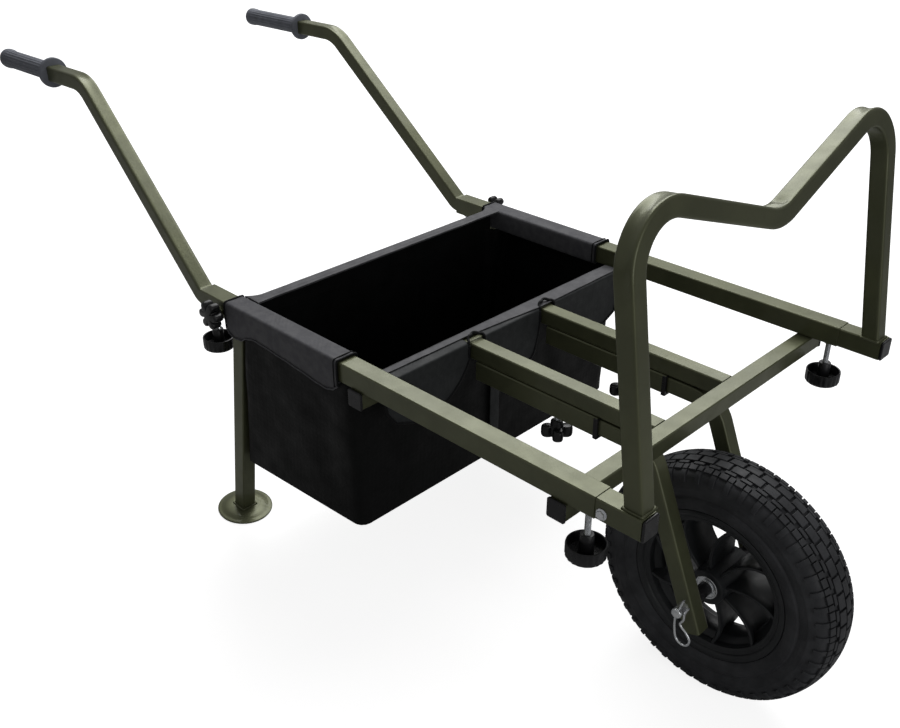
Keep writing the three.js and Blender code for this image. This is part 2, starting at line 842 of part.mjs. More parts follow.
function handleTube(side) {
  const tubeEnd = gripStart.clone().addScaledVector(gripWay, -seat);
  const inward = -side * handleTopIn;
  const route = [
    [-(railLength - handleInsert), 0, -railHalf],
    handleCorner.toArray(),
    [handleTop.x, inward, handleTop.z],
    [tubeEnd.x, inward, tubeEnd.z],
  ];
  const tube = bentTube(route, [handleFirstBend, handleTopBend]);
  const spigot = rodZ(spigotRadius, spigotRoot + gripLength - gripEndWall - seat, spigotSides);
  spigot.translate(0, 0, -spigotRoot);
  spigot.applyQuaternion(new THREE.Quaternion().setFromUnitVectors(zAxis, gripWay));
  spigot.translate(gripStart.x, inward, gripStart.z);
  return join([tube, spigot]);
}

function handGrip() {
  const outline = new THREE.Shape();
  for (let k = 0; k < 2 * gripRibs; k += 1) {
    const turn = (halfTurn * k) / gripRibs;
    const radius = gripRadius - (k % 2) * gripRibDepth;
    outline[k ? "lineTo" : "moveTo"](radius * Math.cos(turn), radius * Math.sin(turn));
  }
  const body = new THREE.ExtrudeGeometry(outline, { depth: gripLength - gripEndLength, bevelEnabled: false });
  const flange = turnedZ([
    [0, 0],
    [gripFlangeRadius - gripFlangeBevel, 0],
    [gripFlangeRadius, gripFlangeBevel],
    [gripFlangeRadius, gripFlangeThick - gripFlangeBevel],
    [gripFlangeRadius - gripFlangeBevel, gripFlangeThick],
    [0, gripFlangeThick],
  ], 2 * gripRibs);
  const end = turnedZ([
    [0, gripLength - gripEndLength - gripEndWall],
    [gripRadius - gripRibDepth, gripLength - gripEndLength - gripEndWall],
    [gripEndRadius, gripLength - gripEndLength],
    [gripEndRadius, gripLength - gripEndWall],
    [gripEndRadius - gripEndWall, gripLength],
    [0, gripLength],
  ], 2 * gripRibs);
  const bore = rodZ(spigotRadius + seat, overrun + gripLength - gripEndWall, spigotSides);
  return cut(join([body, flange, end]), [bore.translate(0, 0, -overrun)]);
}

for (const [hand, side] of sides) {
  const handle = piece(`handle_tube_${hand}`, handleTube(side), olive);
  handle.position.y = side * railTrack;
  const grip = piece(`grip_${hand}`, handGrip(), gripRubber);
  grip.position.set(gripStart.x, side * (railTrack - handleTopIn), gripStart.z);
  grip.quaternion.setFromUnitVectors(zAxis, gripWay);
}

// Legs lean back under the rails and end on flat round feet on the floor
const legTrack = frameWidth / 2 - legTrackInset;

function legTube() {
  const long = 2 * lift;
  const tube = bentTube([[0, 0, tubeSide], [0, 0, -long]], []);
  tube.rotateY(legLean).translate(legX, 0, -railSide);
  const far = 2 * railLength;
  const trimmed = cut(tube, [block(-far, far, -far, far, -(railSide + seat), long)]);
  trimmed.applyMatrix4(chassis.matrix);
  return cut(trimmed, [block(-far, far, -far, far, -long - far, footCrown + seat)]);
}

const legTop = new THREE.Vector3(legX, 0, -railSide).applyMatrix4(chassis.matrix);
const footX = legTop.x - (legTop.z - footCrown) * Math.tan(legLean - stance);

function footDisc() {
  return turnedZ([
    [0, 0],
    [footRadius - edgeBreak, 0],
    [footRadius, edgeBreak],
    [footRadius - edgeBreak, footRim],
    [footCollar, footCrown],
    [0, footCrown],
  ], footSides);
}

for (const [hand, side] of sides) {
  piece(`leg_${hand}`, legTube(), olive, trolley).position.y = side * legTrack;
  piece(`foot_disc_${hand}`, footDisc(), olive, trolley).position.set(footX, side * legTrack, 0);
}

// Clamping knobs: fluted cups under the rails, star knobs beside the rails and under the receivers
function cupKnob() {
  const columns = 2 * cupFlutes;
  const floor = cupFloor - cupHeight;
  const cup = turned([
    [0, -cupHeight],
    [cupRadius - cupBevel, -cupHeight],
    [cupRadius, cupBevel - cupHeight],
    [cupRadius, 0],
    [cupRadius - cupWall, 0],
    [cupRadius - cupWall, floor],
    [0, floor],
  ], columns);
  const place = cup.attributes.position;
  const perColumn = place.count / (columns + 1);
  for (let i = 0; i < place.count; i += 1) {
    const radius = Math.hypot(place.getX(i), place.getZ(i));
    const inFlute = Math.floor(i / perColumn) % 2 === 1 && radius > cupRadius - cupWall / 2;
    const share = inFlute ? 1 - cupFluteDepth / radius : 1;
    place.setXYZ(i, place.getX(i) * share, place.getY(i), place.getZ(i) * share);
  }
  const boss = rodZ(bossRadius, bossAbove - floor + bury, bossSides).translate(0, 0, floor - bury);
  const socket = rodZ(studRadius + bearingClearance, bossSocket + overrun, studSides);
  return cut(join([cup.rotateX(quarterTurn), boss]), [socket.translate(0, 0, bossAbove - bossSocket)]);
}

function starKnob(lobes, neck) {
  const outline = new THREE.Shape();
  for (let k = 0; k < starFacets; k += 1) {
    const turn = (fullTurn * k) / starFacets;
    const lobe = ((1 + Math.cos(lobes * turn)) / 2) ** starLobeShare;
    const radius = starRoot + (starRadius - starRoot) * lobe - starBevel;
    outline[k ? "lineTo" : "moveTo"](radius * Math.cos(turn), radius * Math.sin(turn));
  }
  const head = new THREE.ExtrudeGeometry(outline, {
    depth: starThickness - 2 * starBevel,
    bevelThickness: starBevel,
    bevelSize: starBevel,
    bevelSegments: 1,
  }).translate(0, 0, starBevel - starThickness);
  const boss = rodZ(starNeckRadius, neck + starBevel, 2 * studSides).translate(0, 0, -starBevel);
  const socket = rodZ(studRadius + bearingClearance, starSocket + overrun, studSides);
  return cut(join([head, boss]), [socket.translate(0, 0, neck - starSocket)]);
}

function stud(length) {
  return rodZ(studRadius, length, studSides);
}

// Each clamp: a knob and its stud, whose axis runs up into the rail or in towards it
function clamp(name, knob, socketFloor, reach, place, turn = 0) {
  const head = piece(`${name}_knob`, knob, blackPlastic);
  const screw = piece(`${name}_stud`, stud(reach - socketFloor - 2 * seat), zinc);
  head.rotation.x = turn;
  screw.rotation.x = turn;
  const along = zAxis.clone().applyAxisAngle(new THREE.Vector3(1, 0, 0), turn);
  head.position.set(...place);
  screw.position.copy(head.position).addScaledVector(along, socketFloor + seat);
}

for (const [hand, side] of sides) {
  const cupFloorAt = bossAbove - bossSocket;
  const cupReach = -knobTopZ - railHalf - tubeHalf;
  const cups = [["front", -frontKnobSetback], ["rear", rearKnobX]];
  for (const [end, x] of cups) {
    clamp(`${end}_clamp_${hand}`, cupKnob(), cupFloorAt, cupReach, [x, side * railTrack, knobTopZ]);
  }
  const starZ = receiverZ - railHalf - forkStarDrop;
  const starReach = forkStarDrop + railHalf - tubeHalf;
  clamp(`fork_clamp_${hand}`, starKnob(forkStarLobes, forkStarNeck), forkStarNeck - starSocket, starReach,
    [-forkStarSetback, side * innerTrack, starZ]);
  const sideReach = sideStarGap + railHalf - tubeHalf;
  const sideY = side * (railTrack + railHalf + sideStarGap);
  clamp(`side_clamp_${hand}`, starKnob(sideStarLobes, 0), -starSocket, sideReach,
    [sideStarX, sideY, -sideStarBelow], side * quarterTurn);
}

// Sleeves of bag cloth round the side rails, notched for the legs
function railSleeve() {
  const inner = railSide + 2 * seat;
  const outer = inner + 2 * sleeveCloth;
  const back = legX - tubeHalf - sleevePastLeg;
  const route = [[back, 0, -railHalf], [crossRearX - tubeHalf - sleeveFrontGap, 0, -railHalf]];
  const ring = bentTube(route, [], outer, railCorner, sleeveCloth);
  const legHalf = tubeHalf + legNotch;
  const legOff = legTrack - railTrack;
  const front = legX + tubeHalf / Math.cos(legLean) + legNotch;
  const below = -(railSide + sleeveCloth + overrun);
  const slot = block(back - overrun, front, -legHalf, legHalf, below, seat - railSide);
  return (side) => cut(ring, [at(slot, 0, side * legOff, 0)]);
}

const sleeveFor = railSleeve();
for (const [hand, side] of sides) {
  piece(`bag_sleeve_${hand}`, sleeveFor(side), bagFabric).position.y = side * railTrack;
}

// A closed surface through rings of equally many points, ended by a point at each end
function loft(rings, first, last) {
  const count = rings[0].length;
  const points = [first, ...rings.flat(), last];
  const index = [];
  const vertex = (ring, k) => 1 + ring * count + (k % count);
  for (let k = 0; k < count; k += 1) {
    index.push(0, vertex(0, k + 1), vertex(0, k));
    for (let ring = 0; ring < rings.length - 1; ring += 1) {
      const [a, b] = [vertex(ring, k), vertex(ring, k + 1)];
      const [c, d] = [vertex(ring + 1, k), vertex(ring + 1, k + 1)];
      index.push(a, b, d, a, d, c);
    }
    index.push(points.length - 1, vertex(rings.length - 1, k), vertex(rings.length - 1, k + 1));
  }
  const geometry = new THREE.BufferGeometry();
  geometry.setAttribute("position", new THREE.Float32BufferAttribute(points.flat(), 3));
  geometry.setIndex(index);
  return geometry.toNonIndexed();
}

// The bag: a tub under the rails whose ends rise between them, with a rear hem and flaps in front
const bagFrontX = crossRearX - tubeHalf - seat - bagFrontGap;
const bagPanel = frameWidth / 2 - bagPanelIn;
const bagLegSide = legTrack - tubeHalf - bagLegGap;
const bagTopZ = -(railSide + sleeveCloth + 2 * seat);
const bagPanelBack = legX + tubeHalf / Math.cos(legLean) + bagLegGap;

function bagRing(level, inset, height) {
  const front = bagFrontX - inset;
  const panel = bagPanel - bagPanelTaper * level - inset;
  const back = bagPanelBack - bagPanelLean * level + inset;
  const rear = legX - bagRearLean * level + inset;
  const inner = bagLegSide - inset;
  const half = [];
  for (let k = 0; k <= 3; k += 1) {
    const turn = (quarterTurn * k) / 3;
    half.push([front - bagCornerFront + bagCornerFront * Math.cos(turn),
      panel - bagCornerFront + bagCornerFront * Math.sin(turn)]);
  }
  half.push([back, panel], [back, inner]);
  for (let k = 0; k <= 2; k += 1) {
    const turn = quarterTurn + (quarterTurn * k) / 2;
    half.push([rear + bagCornerRear + bagCornerRear * Math.cos(turn),
      inner - bagCornerRear + bagCornerRear * Math.sin(turn)]);
  }
  const mirrored = half.map(([x, y]) => [x, -y]).reverse();
  const rearShare = (x) => (front - x) / (front - rear);
  return [...half, ...mirrored].map(([x, y]) => [x, y, height(rearShare(x))]);
}

function shrunk(ring, share, drop) {
  const middle = ring.reduce((sum, [x]) => sum + x, 0) / ring.length;
  return ring.map(([x, y, z]) => [middle + (x - middle) * share, y * share, z - drop]);
}

function bagWhole() {
  const rim = () => bagTopZ;
  const floor = (share) => -(bagFrontDrop + (bagRearDrop - bagFrontDrop) * share);
  const innerFloor = (share) => floor(share) + bagCloth;
  const outerTop = bagRing(0, 0, rim);
  const outerFoot = bagRing(1, 0, floor);
  const innerTop = bagRing(0, bagCloth, rim);
  const innerFoot = bagRing(1, bagCloth, innerFloor);
  const middleSag = bagSag * bagMiddleSagShare;
  const outerMid = shrunk(outerFoot, bagMiddleShare, middleSag);
  const innerMid = shrunk(innerFoot, bagMiddleShare, middleSag);
  const lowest = -((bagFrontDrop + bagRearDrop) / 2 + bagSag);
  const middleX = shrunk(outerFoot, 0, 0)[0][0];
  const tub = loft(
    [outerMid, outerFoot, outerTop, innerTop, innerFoot, innerMid],
    [middleX, 0, lowest],
    [middleX, 0, lowest + bagCloth],
  );
  const hemHalf = railTrack - railHalf - hemSideGap;
  const rearWall = block(legX, legX + bagCloth, -hemHalf, hemHalf, bagTopZ - overrun, bury);
  const hem = block(legX, legX + hemDepth, -hemHalf, hemHalf, 0, hemThick);
  const overTop = crossTop + seat;
  const wallX = bagFrontX - bagCloth;
  const frontWall = block(wallX, bagFrontX, -hemHalf, hemHalf, bagTopZ - overrun, overTop + bury);
  const faceX = crossRearX + tubeHalf + seat;
  const strip = block(wallX, faceX + bagCloth, -hemHalf, hemHalf, overTop, overTop + bagCloth);
  const flapFrom = innerTrack + tubeHalf + flapSideGap;
  const flapTo = innerTrack - tubeHalf - flapSideGap;
  const flapTop = overTop + bury;
  const flapSpans = [[-hemHalf, -flapFrom], [-flapTo, flapTo], [flapFrom, hemHalf]];
  const flapFoot = flapTop - flapDrop;
  const flaps = flapSpans.map(([y0, y1]) => block(faceX, faceX + bagCloth, y0, y1, flapFoot, flapTop));
  return join([tub, rearWall, hem, frontWall, strip, ...flaps]);
}

piece("bag", bagWhole(), bagFabric);

// The origin lies on the floor under the middle of the whole trolley
trolley.updateMatrixWorld(true);
const bounds = new THREE.Box3().setFromObject(trolley, true);
trolley.position.x = -(bounds.min.x + bounds.max.x) / 2;

export default trolley;
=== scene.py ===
import json
from math import atan2, cos, exp, floor, hypot, pi, radians, sin, tan

import bpy
from mathutils import Matrix, Vector, noise


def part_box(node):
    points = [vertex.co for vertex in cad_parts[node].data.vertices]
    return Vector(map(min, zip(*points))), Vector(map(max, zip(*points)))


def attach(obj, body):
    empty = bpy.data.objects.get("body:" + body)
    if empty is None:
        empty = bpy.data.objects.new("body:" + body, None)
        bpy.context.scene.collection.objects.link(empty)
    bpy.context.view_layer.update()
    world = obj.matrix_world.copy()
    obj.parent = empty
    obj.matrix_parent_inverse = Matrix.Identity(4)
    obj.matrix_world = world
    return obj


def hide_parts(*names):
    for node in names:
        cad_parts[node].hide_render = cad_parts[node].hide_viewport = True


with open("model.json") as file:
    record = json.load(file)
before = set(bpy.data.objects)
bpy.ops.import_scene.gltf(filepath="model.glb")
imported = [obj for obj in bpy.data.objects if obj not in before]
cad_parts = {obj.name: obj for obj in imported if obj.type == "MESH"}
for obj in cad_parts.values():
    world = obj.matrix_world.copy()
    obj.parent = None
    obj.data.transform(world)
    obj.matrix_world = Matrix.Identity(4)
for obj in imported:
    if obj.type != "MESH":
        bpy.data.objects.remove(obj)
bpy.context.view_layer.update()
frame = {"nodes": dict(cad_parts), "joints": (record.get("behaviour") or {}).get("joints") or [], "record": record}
cadNodes = frame["nodes"]
record = frame["record"]
bodyOf = {node: body for body, nodes in record["behaviour"]["bodies"].items() for node in nodes}
slotOf = {part["node"]: part["material_slot"] for part in record["subparts"]}
hands = {"left": 1, "right": -1}

# Pieces are drawn in millimetres from the rails' front ends, with the rails level, and then laid in the frame
jointOf = {joint["name"]: joint for joint in frame["joints"]}
slide = jointOf["hoop_slide"]["axis"]
tilt = Matrix.Rotation(-atan2(slide[2], slide[0]), 4, "Y")
wheelAt = Vector((13.4, 0, -282.6))
frameOrigin = Vector(jointOf["wheel_spin"]["pos_m"]) - tilt @ (wheelAt * 0.001)
toRow = Matrix.Translation(frameOrigin) @ tilt @ Matrix.Scale(0.001, 4)


# Materials

def colour(code):
    # sRGB hex to linear
    channels = [int(code[k:k + 2], 16) / 255 for k in (1, 3, 5)]
    return [c / 12.92 if c <= 0.04045 else ((c + 0.055) / 1.055) ** 2.4 for c in channels] + [1]


def addNode(tree, kind, inputs={}, **settings):
    made = tree.nodes.new("ShaderNode" + kind)
    for name, value in settings.items():
        setattr(made, name, value)
    for name, value in inputs.items():
        if isinstance(value, bpy.types.NodeSocket):
            tree.links.new(value, made.inputs[name])
        else:
            made.inputs[name].default_value = value
    return made


def newMaterial(name, pale, dark, patch, gloss, **surface):
    # two close colours drift in patches of this many millimetres, and gloss is its own patch and range of roughness
    material = bpy.data.materials.new(name)
    material.use_nodes = True
    tree = material.node_tree
    shader = tree.nodes["Principled BSDF"]
    for socket, value in surface.items():
        shader.inputs[socket.replace("_", " ")].default_value = value
    place = addNode(tree, "TexCoord").outputs["Object"]
    cloud = addNode(tree, "TexNoise", {"Vector": place, "Scale": 1000 / patch, "Detail": 4})
    ramp = addNode(tree, "ValToRGB", {"Fac": cloud.outputs["Fac"]})
    for stop, at, code in zip(ramp.color_ramp.elements, (0.4, 0.6), (dark, pale)):
        stop.position, stop.color = at, colour(code)
    tree.links.new(ramp.outputs["Color"], shader.inputs["Base Color"])
    wear = addNode(tree, "TexNoise", {"Vector": place, "Scale": 1000 / gloss[0], "Detail": 3})
    span = addNode(tree, "MapRange", {"Value": wear.outputs["Fac"], "From Min": 0.3, "From Max": 0.7,
                                      "To Min": gloss[1], "To Max": gloss[2]})
    tree.links.new(span.outputs["Result"], shader.inputs["Roughness"])
    return material, tree, shader, place


def grainedSkin(name, pale, dark, patch, gloss, grain, detail, depth, strength, drawn=1, **surface):
    # a skin with a raised grain, both in millimetres; drawn below 1 pulls the grain out along the axle
    material, tree, shader, place = newMaterial(name, pale, dark, patch, gloss, **surface)
    if drawn < 1:
        place = addNode(tree, "Mapping", {"Vector": place, "Scale": (1, drawn, 1)}).outputs["Vector"]
    grains = addNode(tree, "TexNoise", {"Vector": place, "Scale": 1000 / grain, "Detail": detail})
    relief = addNode(tree, "Bump", {"Height": grains.outputs["Fac"], "Distance": depth / 1000, "Strength": strength})
    tree.links.new(relief.outputs["Normal"], shader.inputs["Normal"])
    return material


def coatedPolyester(name, pale, dark, thread=1.3, crease=38):
    # Woven black polyester with a PU coat: dull, with soft creases a few centimetres long and a faint sheen.
    # Real threads lie 0.5 mm apart. A wave's bands lie 2 pi times this thread apart: 8 mm, and 14 mm on the binding,
    # drawn that coarse to show
    material, tree, shader, place = newMaterial(name, pale, dark, 12, (30, 0.5, 0.66), IOR=1.5,
                                                Specular_IOR_Level=0.16, Sheen_Weight=0.02, Sheen_Roughness=0.4)
    bands = 1000 / thread / 20
    warp = addNode(tree, "TexWave", {"Vector": place, "Scale": bands, "Distortion": 0.4, "Detail Scale": 3},
                   bands_direction="Z")
    across = addNode(tree, "VectorMath", {0: place, 1: (1, 1, 0)}, operation="DOT_PRODUCT")
    flat = addNode(tree, "CombineXYZ", {"X": across.outputs["Value"]})
    weft = addNode(tree, "TexWave", {"Vector": flat.outputs["Vector"], "Scale": bands}, bands_direction="X")
    weave = addNode(tree, "Math", {0: warp.outputs["Fac"], 1: weft.outputs["Fac"]}, operation="MULTIPLY")
    soft = addNode(tree, "TexNoise", {"Vector": place, "Scale": 1000 / crease, "Detail": 3, "Distortion": 0.6})
    creases = addNode(tree, "Bump", {"Height": soft.outputs["Fac"], "Distance": 0.0025, "Strength": 0.4})
    threads = addNode(tree, "Bump", {"Height": weave.outputs["Value"], "Distance": 0.18 / 1000, "Strength": 0.5,
                                     "Normal": creases.outputs["Normal"]})
    tree.links.new(threads.outputs["Normal"], shader.inputs["Normal"])
    return material


finishOf = {
    # Metallic polyester powder baked on steel: an even olive skin, fine flake, half gloss, orange peel of 1.6 mm
    "olive_coat": grainedSkin("powderCoatedSteel", "#62654a", "#5b5e45", 60, (25, 0.36, 0.48), 1.6, 1.5, 0.06, 0.3,
                              IOR=1.5, Metallic=0.5, Coat_Weight=0.2, Coat_Roughness=0.1),
    # Injection-moulded black nylon of knobs and caps: deep black, glossy on edges, faint mould texture of 0.8 mm
    "black_plastic": grainedSkin("mouldedNylon", "#202022", "#19191b", 18, (9, 0.24, 0.4), 0.8, 2, 0.05, 0.3,
                                 IOR=1.5, Specular_IOR_Level=0.4),
    # Bright zinc on turned steel: pale blue-grey mirror broken by fine drawing lines 0.4 mm apart
    "zinc": grainedSkin("zincPlatedSteel", "#eef0f2", "#e2e5e9", 6, (3, 0.18, 0.26), 0.4, 2, 0.008, 0.2,
                        drawn=0.08, Metallic=0.75),
    # Vulcanised tyre rubber: charcoal black, matt, with a mould grain of 1.2 mm and a touch of paler bloom
    "tyre_rubber": grainedSkin("vulcanisedRubber", "#3e3f42", "#2e2f32", 35, (14, 0.52, 0.68), 1.2, 3, 0.1, 0.4,
                               IOR=1.5, Specular_IOR_Level=0.4),
    # Moulded black polypropylene wheel: satin, with flow marks and a spark-eroded grain of 1 mm
    "rim_plastic": grainedSkin("mouldedPolypropylene", "#2c2e30", "#26282a", 30, (12, 0.36, 0.5), 1, 2, 0.06, 0.3,
                               IOR=1.49, Specular_IOR_Level=0.4),
    # Soft vinyl hand grip: blue-grey, dull, paler where hands have rubbed it, grain of 1 mm
    "grip_rubber": grainedSkin("dippedVinyl", "#7c7f88", "#70737b", 22, (10, 0.55, 0.72), 1, 3, 0.15, 0.5,
                               IOR=1.5, Specular_IOR_Level=0.35),
    "bag_cloth": coatedPolyester("coatedPolyester", "#0a0b0b", "#080909"),
}
# Narrow woven tape folded over the edges: a crisp black line with a coarser rib than the cloth's
bindingTape = coatedPolyester("ribbedBindingTape", "#161718", "#111213", thread=2.2, crease=15)
# The same black cloth where it is folded over hem and rails, painted a mid grey: painted light and sheen from above,
# with shorter creases
hemClothPaintedLight = coatedPolyester("coatedPolyesterHemPaintedLight", "#646467", "#5b5b5e")
sleeveClothPaintedLight = coatedPolyester("coatedPolyesterSleevePaintedLight", "#5f5f62", "#56565a", crease=26)
# The same black cloth on a stiff backing, almost without creases; painted charcoal, between the two: painted light
# from above on the flaps' outward lean
flapClothPaintedLight = coatedPolyester("coatedPolyesterFlapPaintedLight", "#3a3c3d", "#353738")
print("materials made")


# Ways of working

def pick(obj):
    bpy.ops.object.select_all(action="DESELECT")
    obj.select_set(True)
    bpy.context.view_layer.objects.active = obj


def edit(obj, mode="VERT"):
    pick(obj)
    bpy.ops.object.mode_set(mode="EDIT")
    bpy.ops.mesh.select_mode(type=mode)
    bpy.ops.mesh.select_all(action="SELECT")


def chooseFaces(obj, test):
    # leaves the piece in edit mode with only the faces that pass
    edit(obj, "FACE")
    bpy.ops.mesh.select_all(action="DESELECT")
    bpy.ops.object.mode_set(mode="OBJECT")
    mesh = obj.data
    mesh.polygons.foreach_set("select", [bool(test(face.center, face.normal)) for face in mesh.polygons])
    bpy.ops.object.mode_set(mode="EDIT")


def leave():
    bpy.ops.object.mode_set(mode="OBJECT")


def tidyMesh(obj, gap=0.01):
    edit(obj)
    bpy.ops.mesh.remove_doubles(threshold=gap)
    bpy.ops.mesh.normals_make_consistent(inside=False)
    leave()


def applyModifier(obj, kind, **settings):
    pick(obj)
    modifier = obj.modifiers.new(kind.lower(), kind)
    for name, value in settings.items():
        setattr(modifier, name, value)
    bpy.ops.object.modifier_apply(modifier=modifier.name)


def thicken(obj, thickness, offset=-1):
    # a sheet gets its thickness inwards, on both sides (0) or outwards (1)
    applyModifier(obj, "SOLIDIFY", thickness=thickness, offset=offset)


def meshObject(name, points, edges=(), faces=()):
    mesh = bpy.data.meshes.new(name)
    mesh.from_pydata([tuple(point) for point in points], list(edges), list(faces))
    obj = bpy.data.objects.new(name, mesh)
    bpy.context.scene.collection.objects.link(obj)
    return obj


def turned(name, profile, steps, axis="Z", closed=False):
    # a profile of (radius, height) spun round Z or Y; ends on the axis close it
    points = [(r, 0, h) if axis == "Z" else (r, h, 0) for r, h in profile]
    edges = [(k, k + 1) for k in range(len(points) - 1)] + ([(len(points) - 1, 0)] if closed else [])
    obj = meshObject(name, points, edges)
    edit(obj)
    bpy.ops.mesh.spin(steps=steps, angle=2 * pi, center=(0, 0, 0), axis=(0, 0, 1) if axis == "Z" else (0, 1, 0))
    leave()
    tidyMesh(obj)
    return obj


def joinAll(name, parts):
    pick(parts[0])
    for part in parts:
        part.select_set(True)
    bpy.ops.object.join()
    parts[0].name = name
    return parts[0]


def gridPlate(name, across, along):
    # a flat plate from -1 to 1, whose vertices its caller lays out
    bpy.ops.object.select_all(action="DESELECT")
    bpy.ops.mesh.primitive_grid_add(x_subdivisions=across, y_subdivisions=along, size=2, location=(0, 0, 0))
    obj = bpy.context.view_layer.objects.active
    obj.name = name
    return obj


def gridFaces(rows, size, closed=False):
    # faces between rows of points; a closed row meets its own start
    steps = range(size if closed else size - 1)
    pairs = [(row * size + k, row * size + (k + 1) % size) for row in range(rows - 1) for k in steps]
    return [(a, b, b + size, a + size) for a, b in pairs]


def pressIn(vertex, dip):
    # towards the Z axis
    share = 1 - dip / hypot(vertex.co.x, vertex.co.y)
    vertex.co.x *= share
    vertex.co.y *= share


def turnToFace(obj, axis):
    if sum(face.normal[axis] for face in obj.data.polygons) < 0:
        obj.data.flip_normals()


def valueAt(table, at):
    # read off a table of (place, value), straight between its rows
    for (a, low), (b, high) in zip(table, table[1:]):
        if at <= b:
            return low + (high - low) * (at - a) / (b - a)
    return table[-1][1]


def wire(name, points, radius, sides=3, cyclic=False):
    # a round rod along points
    curve = bpy.data.curves.new(name, "CURVE")
    curve.dimensions = "3D"
    curve.bevel_depth = radius
    curve.bevel_resolution = sides
    curve.use_fill_caps = not cyclic
    spline = curve.splines.new("POLY")
    spline.points.add(len(points) - 1)
    for spot, point in zip(spline.points, points):
        spot.co = (*point, 1)
    spline.use_cyclic_u = cyclic
    obj = bpy.data.objects.new(name, curve)
    bpy.context.scene.collection.objects.link(obj)
    pick(obj)
    bpy.ops.object.convert(target="MESH")
    return bpy.context.view_layer.objects.active


def smoothRoute(points, steps):
    # a curve through the points
    points = [Vector(point) for point in points]
    route = []
    for k in range(len(points) - 1):
        before = points[k - 1] if k else 2 * points[0] - points[1]
        after = points[k + 2] if k + 2 < len(points) else 2 * points[-1] - points[-2]
        for step in range(steps):
            t = step / steps
            a, b = points[k], points[k + 1]
            route.append(0.5 * ((2 * a) + (b - before) * t + (2 * before - 5 * a + 4 * b - after) * t * t
                                + (3 * a - before - 3 * b + after) * t ** 3))
    return route + [points[-1]]


def settle(obj, node=None, body=None, slot=None, smooth=35, finish=None, drawn=True):
    # lays a drawn piece in the frame, gives it its finish, hides the CAD node it stands for and hangs it on the body
    # it rides on
    if drawn:
        obj.data.transform(toRow)
    slot = slot or slotOf[node]
    obj.data.materials.clear()
    obj.data.materials.append(finish or finishOf[slot])
    pick(obj)
    bpy.ops.object.shade_smooth_by_angle(angle=radians(smooth))
    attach(obj, body or bodyOf[node])
    if node:
        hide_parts(node)
    return obj


def softened(node, width=0.8, segments=2, sharp=28):
    # a copy of a CAD node whose sharp edges get the small radius that the real one has
    obj = meshObject(node + "_finished", [])
    obj.data = cadNodes[node].data.copy()
    edit(obj)
    bpy.ops.mesh.remove_doubles(threshold=0.00002)
    bpy.ops.mesh.dissolve_limited(angle_limit=radians(1))
    leave()
    applyModifier(obj, "BEVEL", width=width / 1000, segments=segments, limit_method="ANGLE",
                  angle_limit=radians(sharp), use_clamp_overlap=True)
    settle(obj, node, drawn=False)
    applyModifier(obj, "WEIGHTED_NORMAL", keep_sharp=True, mode="FACE_AREA")
    return obj


# Tubes, caps and bolts that keep their CAD shape, with their sharp edges softened

for node in ("cross_tube_front", "cross_tube_rear", "axle"):
    softened(node)
for hand in hands:
    for node in ("rail", "inner_rail", "receiver", "leg", "hoop_stub"):
        softened(f"{node}_{hand}")
    for node in ("cross_cap_front", "cross_cap_rear", "receiver_collar", "stub_cap", "hoop_bolt", "axle_spacer"):
        softened(f"{node}_{hand}", width=0.6)
print("tubes, caps and bolts softened")

# Bent tubes: 25 mm square stock drawn round a former, which dishes the outer wall and pinches the inner one
stock = {"half": 12.5, "corner": 3, "cornerSteps": 4, "step": 12, "bendStep": radians(4), "fade": 48,
         "pinchWidth": 15, "lip": 1.4, "lipAt": 17, "lipWidth": 7}
hoop = {"track": 281, "height": 343.8, "dip": radians(19), "lean": radians(8.6), "ahead": 45.5, "below": -31,
        "foot": -0.2, "bend": 60, "dipBend": 70, "dish": 2.2, "pinch": 2.4, "weldHalf": 12.8, "weldZ": -0.6}
handle = {"front": -618, "corner": (-776, -15), "top": (-1095, 255), "run": 103.7, "drop": 1.5, "inset": 17.4,
          "bends": (22, 60), "dish": 1.4, "track": 285}
forkArm = {"rear": -330, "corner": -75, "z": -70.6, "bend": 50, "down": 212, "tail": 42, "track": 80, "dish": 1}


def tubeSection():
    half, corner = stock["half"], stock["corner"]
    flat = half - corner
    turns = [pi / 2 * k / stock["cornerSteps"] for k in range(stock["cornerSteps"] + 1)]
    side = [(half, flat * share) for share in (-0.7, -0.35, 0, 0.35, 0.7)]
    bend = [(flat + corner * cos(turn), flat + corner * sin(turn)) for turn in turns]
    return [Matrix.Rotation(pi / 2 * quarter, 2) @ Vector(point) for quarter in range(4) for point in side + bend]


def bentStations(corners, radii):
    # (point, tangent, way to the bend's centre, how far into a bend) along straight runs and round bends
    corners = [Vector(point) for point in corners]
    runs = [(b - a).normalized() for a, b in zip(corners, corners[1:])]
    stations, at, inward = [], corners[0], None
    for k, radius in enumerate(radii):
        before, after = runs[k], runs[k + 1]
        angle = before.angle(after)
        axis = before.cross(after).normalized()
        first = corners[k + 1] - before * radius * tan(angle / 2)
        toCentre = axis.cross(before)
        count = max(2, round((first - at).length / stock["step"]))
        for step in range(count):
            place = at.lerp(first, step / count)
            nearStart = max(0, 1 - (first - place).length / stock["fade"])
            nearEnd = max(0, 1 - (place - at).length / stock["fade"]) if inward else 0
            share = 0.5 * max(nearStart, nearEnd) ** 2
            stations.append((place, before, toCentre if nearStart >= nearEnd else inward, share))
        centre = first + toCentre * radius
        steps = max(3, round(angle / stock["bendStep"]))
        for step in range(steps):
            turn = Matrix.Rotation(angle * step / steps, 3, axis)
            share = 0.5 + 0.5 * sin(pi * step / steps)
            stations.append((centre + turn @ (first - centre), turn @ before, turn @ toCentre, share))
        inward = Matrix.Rotation(angle, 3, axis) @ toCentre
        at = corners[k + 1] + after * radius * tan(angle / 2)
    count = max(2, round((corners[-1] - at).length / stock["step"]))
    for step in range(count + 1):
        place = at.lerp(corners[-1], step / count)
        share = 0.5 * max(0, 1 - (place - at).length / stock["fade"]) ** 2
        stations.append((place, runs[-1], inward, share))
    return stations


